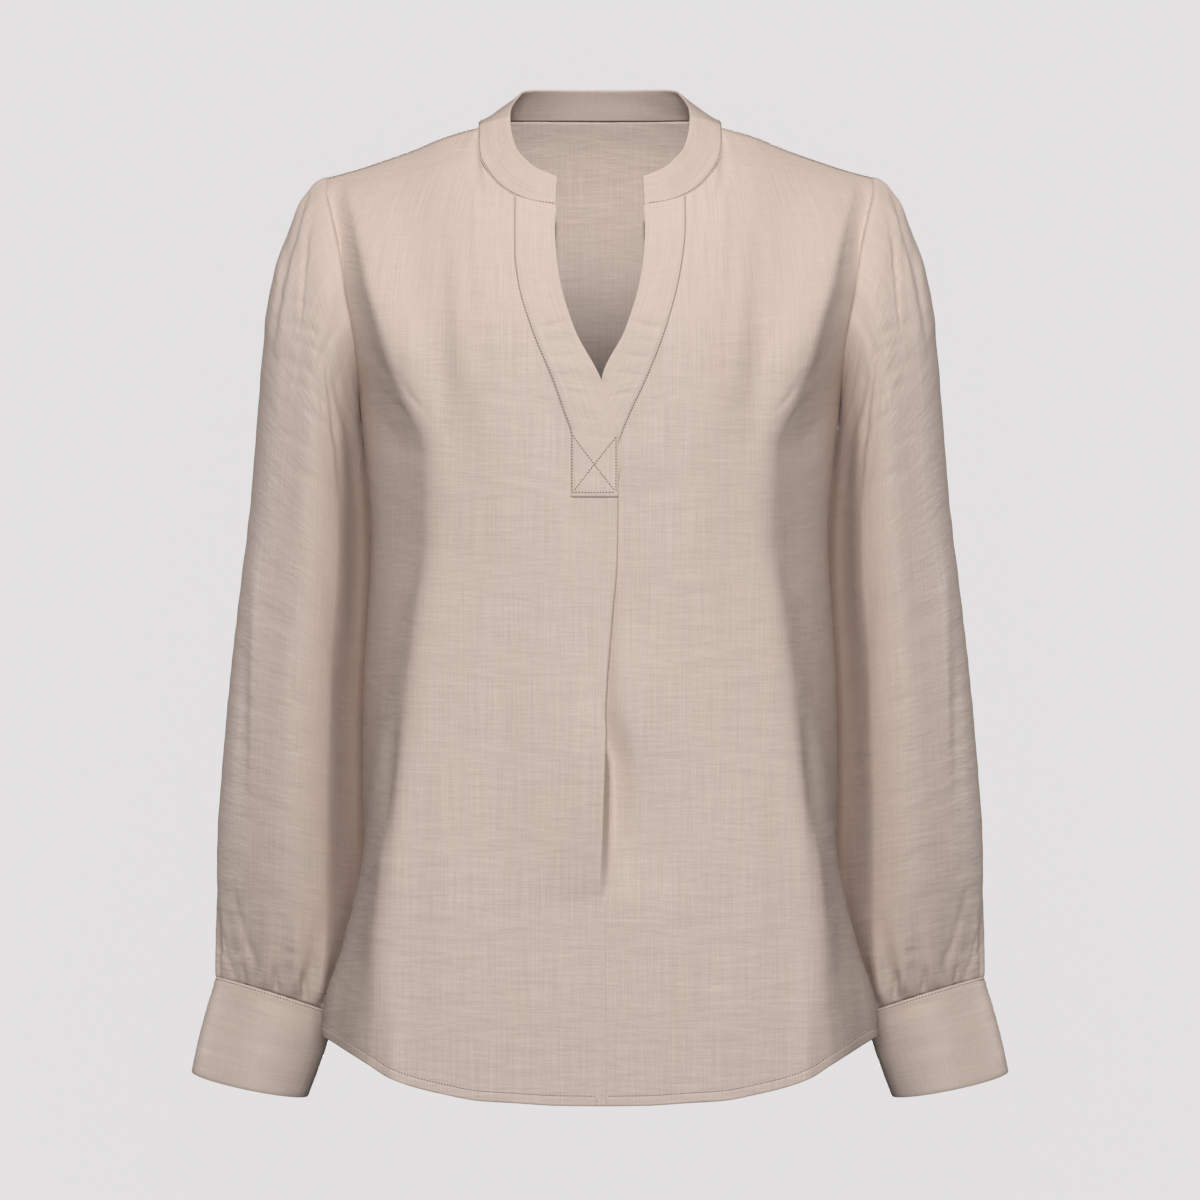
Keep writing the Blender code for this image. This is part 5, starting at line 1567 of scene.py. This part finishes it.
@dataclass
class Web:
    """Adds and joins the nodes of one tree."""

    tree: bpy.types.NodeTree

    def add(self, kind: str, **settings: object) -> bpy.types.Node:
        """Adds a node.

        Args:
            kind: the node's type.
            **settings: its properties.

        Returns:
            The node.
        """
        node = self.tree.nodes.new(kind)
        for name, value in settings.items():
            setattr(node, name, value)
        return node

    def join(self, source: bpy.types.NodeSocket, target: bpy.types.NodeSocket) -> None:
        """Joins an output to an input."""
        self.tree.links.new(source, target)

    def times(self, first: bpy.types.NodeSocket, second: bpy.types.NodeSocket) -> bpy.types.NodeSocket:
        """Multiplies two values."""
        product = self.add("ShaderNodeMath", operation="MULTIPLY")
        self.join(first, product.inputs[0])
        self.join(second, product.inputs[1])
        return product.outputs[0]

    def either(self, share: bpy.types.NodeSocket, first: bpy.types.Node, second: bpy.types.Node,
               output: bpy.types.Node) -> None:
        """Gives an output the first shader, or the second one where the share is 1."""
        mix = self.add("ShaderNodeMixShader")
        self.join(share, mix.inputs[0])
        self.join(first.outputs[0], mix.inputs[1])
        self.join(second.outputs[0], mix.inputs[2])
        self.join(mix.outputs[0], output.inputs["Surface"])

    def put(self, node: bpy.types.Node, **values: object) -> None:
        """Sets a node's inputs by their names, with _ for a space."""
        for name, value in values.items():
            node.inputs[name.replace("_", " ")].default_value = value

    def noise(self, vector: bpy.types.NodeSocket, scale: tuple[float, float], detail: float,
              rough: float = 0.55, ridged: bool = False) -> bpy.types.NodeSocket:
        """A noise stretched over the thread map.

        Args:
            vector: the thread map.
            scale: grains in each metre across and along.
            detail: its octaves.
            rough: how strong the fine octaves are.
            ridged: whether it is made of thin ridges.

        Returns:
            Its value.
        """
        mapping = self.add("ShaderNodeMapping")
        mapping.inputs["Scale"].default_value = (*scale, 1.0)
        self.join(vector, mapping.inputs["Vector"])
        noise = self.add("ShaderNodeTexNoise")
        if ridged:
            noise.noise_type = "RIDGED_MULTIFRACTAL"
        noise.inputs["Scale"].default_value = 1.0
        noise.inputs["Detail"].default_value = detail
        noise.inputs["Roughness"].default_value = rough
        self.join(mapping.outputs["Vector"], noise.inputs["Vector"])
        return noise.outputs["Fac"] if "Fac" in noise.outputs else noise.outputs[0]

    def mixed(self, *parts: tuple[bpy.types.NodeSocket, float]) -> bpy.types.NodeSocket:
        """A weighted sum of values.

        Args:
            *parts: each value and its weight.

        Returns:
            The sum.
        """
        total = None
        for value, weight in parts:
            step = self.add("ShaderNodeMath", operation="MULTIPLY_ADD")
            self.join(value, step.inputs[0])
            step.inputs[1].default_value = weight
            step.inputs[2].default_value = 0.0
            if total is not None:
                self.join(total, step.inputs[2])
            total = step.outputs[0]
        return total


@dataclass(frozen=True)
class Weave:
    """The cloth's surface: long uneven threads up and down, finer ones across, and short crinkles."""

    name: str = "slub_weave"

    def build(self) -> bpy.types.NodeTree:
        """Makes the node group.

        Returns:
            A group with Vector, Slub and Crinkle in, and Height, Shade and Tone out.
        """
        group = bpy.data.node_groups.new(self.name, "ShaderNodeTree")
        face = group.interface
        face.new_socket("Vector", in_out="INPUT", socket_type="NodeSocketVector")
        for name, value in (("Slub", 1.0), ("Crinkle", 1.0)):
            socket = face.new_socket(name, in_out="INPUT", socket_type="NodeSocketFloat")
            socket.default_value = value
        for name in ("Height", "Shade", "Tone"):
            face.new_socket(name, in_out="OUTPUT", socket_type="NodeSocketFloat")
        web = Web(group)
        start = web.add("NodeGroupInput")
        end = web.add("NodeGroupOutput")
        place = start.outputs["Vector"]
        slub = web.noise(place, (850.0, 16.0), 3.0)
        thread = web.noise(place, (2300.0, 75.0), 2.0)
        weft = web.noise(place, (30.0, 1150.0), 2.0)
        cross = web.noise(place, (120.0, 2400.0), 1.0)
        crinkle = web.noise(place, (34.0, 130.0), 3.0, 0.5, ridged=True)
        crease = web.noise(place, (60.0, 260.0), 2.0, 0.5)
        patch = web.noise(place, (11.0, 7.0), 2.0)
        stripe = web.noise(place, (520.0, 9.0), 2.0)
        weave = web.mixed((slub, 0.50), (thread, 0.28), (weft, 0.34), (cross, 0.18))
        folds = web.mixed((web.times(crinkle, patch), 2.0), (crease, 1.9))
        height = web.mixed((web.times(weave, start.outputs["Slub"]), 1.0),
                           (web.times(folds, start.outputs["Crinkle"]), 1.0))
        web.join(height, end.inputs["Height"])
        shade = web.mixed((slub, 0.42), (thread, 0.22), (weft, 0.22), (cross, 0.14))
        web.join(shade, end.inputs["Shade"])
        tone = web.mixed((stripe, 0.7), (patch, 0.3))
        web.join(tone, end.inputs["Tone"])
        return group


@dataclass(frozen=True)
class SatinFinish:
    """The blouse's cloth: a light slub satin, warm beige, duller where it turns away."""

    name: str
    cool: tuple[float, float, float]
    warm: tuple[float, float, float]
    dark: tuple[float, float, float]
    slub: float = 1.0
    crinkle: float = 1.0
    roughness: tuple[float, float] = (0.46, 0.62)
    bump: float = 0.00021
    shades: tuple[float, float] = (0.36, 0.64)  # the weave's usual lowest and highest shade

    def build(self, weave: bpy.types.NodeTree) -> bpy.types.Material:
        """Makes the material.

        Args:
            weave: the weave's node group.

        Returns:
            The material.
        """
        material = bpy.data.materials.new(self.name)
        material.use_nodes = True
        web = Web(material.node_tree)
        shader = material.node_tree.nodes["Principled BSDF"]
        threads = web.add("ShaderNodeUVMap", uv_map=UV_NAME)
        surface = web.add("ShaderNodeGroup", node_tree=weave)
        web.put(surface, Slub=self.slub, Crinkle=self.crinkle)
        web.join(threads.outputs["UV"], surface.inputs["Vector"])
        tone = web.add("ShaderNodeValToRGB")
        tone.color_ramp.elements[0].position = 0.40
        tone.color_ramp.elements[0].color = (*self.cool, 1.0)
        tone.color_ramp.elements[1].position = 0.62
        tone.color_ramp.elements[1].color = (*self.warm, 1.0)
        web.join(surface.outputs["Tone"], tone.inputs["Fac"])
        spread = web.add("ShaderNodeMapRange")
        web.put(spread, From_Min=self.shades[0], From_Max=self.shades[1])
        web.join(surface.outputs["Shade"], spread.inputs["Value"])
        colour = web.add("ShaderNodeMix", data_type="RGBA", blend_type="MIX")
        web.join(spread.outputs["Result"], colour.inputs["Factor"])
        dark = next(s for s in colour.inputs if s.name == "A" and s.type == "RGBA")
        light = next(s for s in colour.inputs if s.name == "B" and s.type == "RGBA")
        dark.default_value = (*self.dark, 1.0)
        web.join(tone.outputs["Color"], light)
        result = next(s for s in colour.outputs if s.type == "RGBA")
        web.join(result, shader.inputs["Base Color"])
        rough = web.add("ShaderNodeMapRange")
        web.put(rough, From_Min=self.shades[0], From_Max=self.shades[1], To_Min=self.roughness[1],
                To_Max=self.roughness[0])
        web.join(surface.outputs["Shade"], rough.inputs["Value"])
        web.join(rough.outputs["Result"], shader.inputs["Roughness"])
        bump = web.add("ShaderNodeBump")
        web.put(bump, Distance=self.bump, Strength=1.0)
        web.join(surface.outputs["Height"], bump.inputs["Height"])
        web.join(bump.outputs["Normal"], shader.inputs["Normal"])
        web.put(shader, Specular_IOR_Level=0.35, Sheen_Weight=0.04, Sheen_Roughness=0.4,
                Sheen_Tint=(1.0, 0.92, 0.86, 1.0))
        return material


@dataclass(frozen=True)
class ThreadFinish:
    """Sewing thread, or the dark colour that paints the shade in a needle hole."""

    name: str
    colour: tuple[float, float, float]
    roughness: float = 0.6

    def build(self) -> bpy.types.Material:
        """Makes the material: a plain colour with a fine twist in it.

        Returns:
            The material.
        """
        material = bpy.data.materials.new(self.name)
        material.use_nodes = True
        web = Web(material.node_tree)
        shader = material.node_tree.nodes["Principled BSDF"]
        place = web.add("ShaderNodeTexCoord")
        twist = web.noise(place.outputs["Object"], (4200.0, 4200.0), 1.0)
        ramp = web.add("ShaderNodeValToRGB")
        ramp.color_ramp.elements[0].color = (*(c * 0.86 for c in self.colour), 1.0)
        ramp.color_ramp.elements[1].color = (*self.colour, 1.0)
        web.join(twist, ramp.inputs["Fac"])
        web.join(ramp.outputs["Color"], shader.inputs["Base Color"])
        shader.inputs["Roughness"].default_value = self.roughness
        return material


@dataclass(frozen=True)
class Finishes:
    """Every material of the blouse."""

    cloth: bpy.types.Material
    sleeve: bpy.types.Material
    firm: bpy.types.Material
    thread: bpy.types.Material
    # painted shade: the dark of each needle hole and of the collar's inner seam line
    shade: bpy.types.Material

    @staticmethod
    def build() -> "Finishes":
        """Makes them all."""
        weave = Weave().build()
        cool, warm, dark = (0.655, 0.556, 0.505), (0.690, 0.568, 0.492), (0.570, 0.465, 0.407)
        return Finishes(
            SatinFinish("blouse_cloth", cool, warm, dark).build(weave),
            SatinFinish("blouse_cloth_sleeve", cool, warm, dark, 1.1, 1.1).build(weave),
            SatinFinish("blouse_cloth_firm", cool, warm, dark, 1.1, 0.60).build(weave),
            ThreadFinish("blouse_thread", (0.61, 0.50, 0.44)).build(),
            # near-black colour that paints the shade of the needle hole dots and the collar's inner seam
            ThreadFinish("blouse_needle_shade", (0.15, 0.105, 0.085), 0.9).build(),
        )


# The blouse

@dataclass
class Blouse:
    """The whole blouse, built piece by piece."""

    finishes: Finishes
    cloth: float = 0.00055        # thickness of one cloth
    firm: float = 0.0016          # thickness of the collar and the cuffs
    band: float = 0.0008          # thickness of the placket bands

    def build(self) -> tuple[bpy.types.Object, list[bpy.types.Object]]:
        """Builds every piece and its sewing.

        Returns:
            The back, whose inside shows through the neck, and the sleeves and cuffs.
        """
        form = TrunkForm()
        front_panel, back_panel = FrontPanel(form), BackPanel(form)
        front, halves = front_panel.build()
        back, back_index = back_panel.build()
        back_piece = self.trunk(front, halves, back, back_index)
        self.bands(front, halves)
        self.collar()
        arms = self.arm(Side.LEFT) + self.arm(Side.RIGHT)
        return back_piece, arms

    def trunk(self, front: Sheet, halves: dict[str, Array],
              back: Sheet, back_index: Array) -> bpy.types.Object:
        """Builds the front and the back, each with its hem's stitching.

        Args:
            front: the front's sheet.
            halves: the point numbers of its halves.
            back: the back's sheet.
            back_index: its point numbers.

        Returns:
            The back's piece.
        """
        front_sewing = Stitches()
        for index in halves.values():
            front_sewing.add(*hem_line(front, index, self.cloth / 2))
        sewn = front_sewing.build("front_hem", self.finishes.thread, self.finishes.shade)
        piece = make_piece("front_panel", front, self.finishes.cloth, self.cloth)
        declare(piece, "front")
        back_sewing = Stitches()
        back_sewing.add(*hem_line(back, back_index, self.cloth / 2))
        sewn = back_sewing.build("back_hem", self.finishes.thread, self.finishes.shade)
        piece = make_piece("back_panel", back, self.finishes.cloth, self.cloth)
        declare(piece, "back")
        return piece

    def bands(self, front: Sheet, halves: dict[str, Array]) -> None:
        """Builds the two placket bands, the edge stitching of each and the boxed tab with its cross.

        Args:
            front: the front's sheet.
            halves: the point numbers of its halves.
        """
        lift = self.band / 2
        right = PlacketBand(Side.RIGHT, RIGHT_EDGES, -0.2230, cut=Cut((0.032, 0.180), 0.0050))
        sheet, index = right.build(front, halves["right"])
        sewing = Stitches()
        sewing.add(*line_on(sheet, index, 1.0, 0.5, right.down_steps * 0.97, 0.5, lift))
        sewn = sewing.build("band_right", self.finishes.thread, self.finishes.shade)
        piece = make_piece("band_right", sheet, self.finishes.firm, self.band)
        round_edges(piece, BAND_ROUNDING)
        declare(piece, "placket_right")

        left = PlacketBand(Side.LEFT, LEFT_EDGES, -0.2583, climbs=True)
        sheet, index = left.build(front, halves["left"])
        sewing = Stitches()
        last, wide = float(left.down_steps), float(left.across_steps)
        box_top = last * 0.800
        sewing.add(*line_on(sheet, index, 1.0, 0.5, last - 1.5, 0.5, lift, 240))
        sewing.add(*line_on(sheet, index, box_top, wide - 0.9, last - 1.5, wide - 0.9, lift))
        sewing.add(*line_on(sheet, index, last - 1.7, 1.0, last - 1.7, wide - 1.0, lift))
        sewing.add(*line_on(sheet, index, box_top, 1.0, last - 2.1, wide - 1.2, lift))
        sewing.add(*line_on(sheet, index, box_top, wide - 1.2, last - 2.1, 1.2, lift))
        sewn = sewing.build("band_left", self.finishes.thread, self.finishes.shade)
        piece = make_piece("band_left", sheet, self.finishes.firm, self.band)
        round_edges(piece, BAND_ROUNDING)
        declare(piece, "placket_left")

    def collar(self) -> None:
        """Builds the stand collar, the stitching along its foot, and a painted shade line at its inner seam.
        """
        collar = StandCollar()
        sheet, index = collar.build()
        sewing = Stitches(pitch=FIRM_PITCH)
        sewing.add(*line_on(sheet, index, 0.5, 1.0, 0.5, index.shape[1] - 2.0, self.firm / 2, 400))
        sewn = sewing.build("collar", self.finishes.thread, self.finishes.shade)
        # Dark beads inside the back of the neck: painted shade along the collar's seam line.
        joined = Stitches(pitch=SEAM_SHADE_PITCH)
        inside = -self.firm / 2 - 0.0008
        joined.add(*line_on(sheet, index, 0.50, 26.0, 0.50, index.shape[1] - 27.0, inside, 300))
        sewn.append(joined.beads("collar_seam_shade", 0.0, (0.00075, 0.00060, 0.00030), 0.0, self.finishes.shade))
        piece = make_piece("stand_collar", sheet, self.finishes.firm, self.firm)
        round_edges(piece, FIRM_ROUNDING)
        declare(piece, "collar")

    def arm(self, side: Side) -> list[bpy.types.Object]:
        """Builds a sleeve and its cuff with the stitching along the cuff's seam.

        Args:
            side: which side.

        Returns:
            The sleeve and the cuff.
        """
        word = side.name.lower()
        sleeve = Sleeve(side)
        arm = make_piece(f"sleeve_{word}_cloth", sleeve.build(), self.finishes.sleeve, self.cloth)
        declare(arm, f"sleeve_{word}")
        cuff = Cuff(side)
        sheet, index = cuff.build()
        whole = np.concatenate([index, index[:, :1]], axis=1)
        sewing = Stitches(pitch=FIRM_PITCH)
        sewing.add(*line_on(sheet, whole, 0.9, 0.0, 0.9, whole.shape[1] - 1.0, self.firm / 2, 300))
        sewn = sewing.build(f"cuff_{word}", self.finishes.thread, self.finishes.shade)
        piece = make_piece(f"cuff_{word}_band", sheet, self.finishes.firm, self.firm)
        round_edges(piece, FIRM_ROUNDING)
        declare(piece, f"cuff_{word}")
        return [arm, piece]


# The studio

@dataclass
class Studio:
    """The soft lights, the camera, and the floor and backdrop in one sheet that is clear from behind."""

    eye_y: float = -20.0
    eye_z: float = -0.3304
    plane_y: float = -0.050       # where the photograph's scale holds
    frame_width: float = 0.840
    floor_z: float = -1.30
    wall_y: float = 1.60
    bend: float = 0.60
    backdrop: tuple[float, float, float] = (0.752, 0.737, 0.745)
    inside_cone: float = 7.4      # degrees across
    inside_power: float = 430.0
    edge_power: float = 40.0
    front_lights: tuple[bpy.types.Object, ...] = ()

    def camera(self) -> None:
        """Puts the camera straight in front with a long lens."""
        data = bpy.data.cameras.new("camera")
        data.sensor_width = 36.0
        data.lens = data.sensor_width * (self.plane_y - self.eye_y) / self.frame_width
        data.clip_end = 60.0
        camera = bpy.data.objects.new("camera", data)
        camera.location = (0.0, self.eye_y, self.eye_z)
        camera.rotation_euler = (math.pi / 2, 0.0, 0.0)
        bpy.context.scene.collection.objects.link(camera)
        bpy.context.scene.camera = camera

    def floor(self) -> None:
        """Builds the sheet: a flat floor, a quarter circle and a wall, swept sideways."""
        turn = np.linspace(0, math.pi / 2, 24)
        arc_y = self.wall_y - self.bend + self.bend * np.sin(turn)
        arc_z = self.floor_z + self.bend - self.bend * np.cos(turn)
        y = np.concatenate([[-9.0], arc_y, [self.wall_y]])
        z = np.concatenate([[self.floor_z], arc_z, [5.0]])
        x = np.array([-7.0, 7.0])
        grid = np.stack(np.broadcast_arrays(x[:, None], y[None], z[None]), axis=-1)
        mesh = bpy.data.meshes.new("floor")
        faces = quads_of(numbered(2, len(y)), turned=True)
        mesh.from_pydata(grid.reshape(-1, 3).tolist(), [], faces.tolist())
        mesh.shade_smooth()
        material = bpy.data.materials.new("backdrop")
        material.use_nodes = True
        web = Web(material.node_tree)
        shader = web.tree.nodes["Principled BSDF"]
        web.put(shader, Base_Color=(0.02, 0.02, 0.02, 1.0), Roughness=1.0, Specular_IOR_Level=0.0,
                Emission_Color=(*self.backdrop, 1.0))
        seen = web.add("ShaderNodeLightPath").outputs["Is Camera Ray"]
        web.join(seen, shader.inputs["Emission Strength"])
        from_behind = web.times(web.add("ShaderNodeNewGeometry").outputs["Backfacing"], seen)
        clear = web.add("ShaderNodeBsdfTransparent")
        web.either(from_behind, shader, clear, web.tree.nodes["Material Output"])
        mesh.materials.append(material)
        floor = bpy.data.objects.new("floor", mesh)
        bpy.context.scene.collection.objects.link(floor)

    def light(self, name: str, place: tuple[float, float, float], aim: tuple[float, float, float],
              size: tuple[float, float], power: float) -> bpy.types.Object:
        """Adds a soft rectangular light.

        Args:
            name: the light's name.
            place: where it stands.
            aim: where it points.
            size: its width and height.
            power: its power in watts.

        Returns:
            The light.
        """
        data = bpy.data.lights.new(name, "AREA")
        data.shape = "RECTANGLE"
        data.size, data.size_y = size
        data.energy = power
        return self.aimed(data, place, aim)

    def inside(self, back: bpy.types.Object) -> None:
        """Lights the back's inside by a soft spot of its own, bright at the neck and dim at the slit's foot.

        Args:
            back: the back's piece.
        """
        data = bpy.data.lights.new("inside", "SPOT")
        data.spot_size = math.radians(self.inside_cone)
        data.spot_blend = 1.0
        data.shadow_soft_size = 0.05
        data.energy = self.inside_power
        spot = self.aimed(data, (0.0, -3.0, 0.6), (0.0, 0.08, 0.02))
        self.reach(spot, [back], "INCLUDE")
        for lamp in self.front_lights:
            self.reach(lamp, [back], "EXCLUDE")

    def edges(self, arms: list[bpy.types.Object]) -> None:
        """Lights the outer sides of the sleeves and cuffs from beside and behind.

        Args:
            arms: the sleeves and cuffs.
        """
        for side in Side:
            lamp = self.light("edge_" + side.name.lower(), (side.value * 3.2, 1.0, 0.3), MIDDLE,
                              (0.8, 1.2), self.edge_power)
            self.reach(lamp, arms, "INCLUDE")

    def reach(self, lamp: bpy.types.Object, pieces: list[bpy.types.Object], state: str) -> None:
        """Says which pieces a light reaches, or which it doesn't.

        Args:
            lamp: the light.
            pieces: the pieces.
            state: INCLUDE for those that it reaches, EXCLUDE for those that it doesn't.
        """
        reached = bpy.data.collections.new(lamp.name + "_reach")
        for place, piece in enumerate(pieces):
            reached.objects.link(piece)
            reached.collection_objects[place].light_linking.link_state = state
        lamp.light_linking.receiver_collection = reached

    def aimed(self, data: bpy.types.Light, place: tuple[float, float, float],
              aim: tuple[float, float, float]) -> bpy.types.Object:
        """Puts a light at a place, turned towards another.

        Args:
            data: the light's settings.
            place: where it stands.
            aim: where it points.

        Returns:
            The light.
        """
        data.color = (1.0, 0.985, 0.97)
        lamp = bpy.data.objects.new(data.name, data)
        lamp.location = place
        way = np.subtract(aim, place)
        flat = math.hypot(way[0], way[1])
        lamp.rotation_euler = (math.pi / 2 + math.atan2(way[2], flat), 0.0, math.atan2(-way[0], way[1]))
        bpy.context.scene.collection.objects.link(lamp)
        return lamp

    def build(self) -> None:
        """Builds the whole studio."""
        scene = bpy.context.scene
        scene.view_settings.view_transform = "Standard"
        world = bpy.data.worlds.new("studio")
        world.use_nodes = True
        web = Web(world.node_tree)
        sky, far = web.tree.nodes["Background"], web.add("ShaderNodeBackground")
        web.put(sky, Color=(0.80, 0.70, 0.65, 1.0), Strength=0.13)
        web.put(far, Color=(*self.backdrop, 1.0))
        seen = web.add("ShaderNodeLightPath").outputs["Is Camera Ray"]
        web.either(seen, sky, far, web.tree.nodes["World Output"])
        scene.world = world
        self.camera()
        self.floor()
        self.front_lights = (self.light("key", (0.0, -3.3, 1.4), MIDDLE, (0.9, 0.7), 70.0),
                             self.light("front", (0.0, -4.6, -0.4), MIDDLE, (0.7, 0.9), 74.0))
        self.light("top", (0.0, -0.2, 2.4), (0.0, 0.0, -0.20), (1.2, 0.8), 25.0)
        self.light("back", (0.0, 1.45, -0.35), MIDDLE, (0.2, 0.8), 16.0).visible_camera = False


def main() -> None:
    """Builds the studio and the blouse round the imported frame."""
    logging.basicConfig(level=logging.INFO, format="%(message)s")
    for obj in list(bpy.data.objects):
        bpy.data.objects.remove(obj, do_unlink=True)
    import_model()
    studio = Studio()
    studio.build()
    back, arms = Blouse(Finishes.build()).build()
    studio.inside(back)
    studio.edges(arms)


if __name__ == "__main__":
    main()
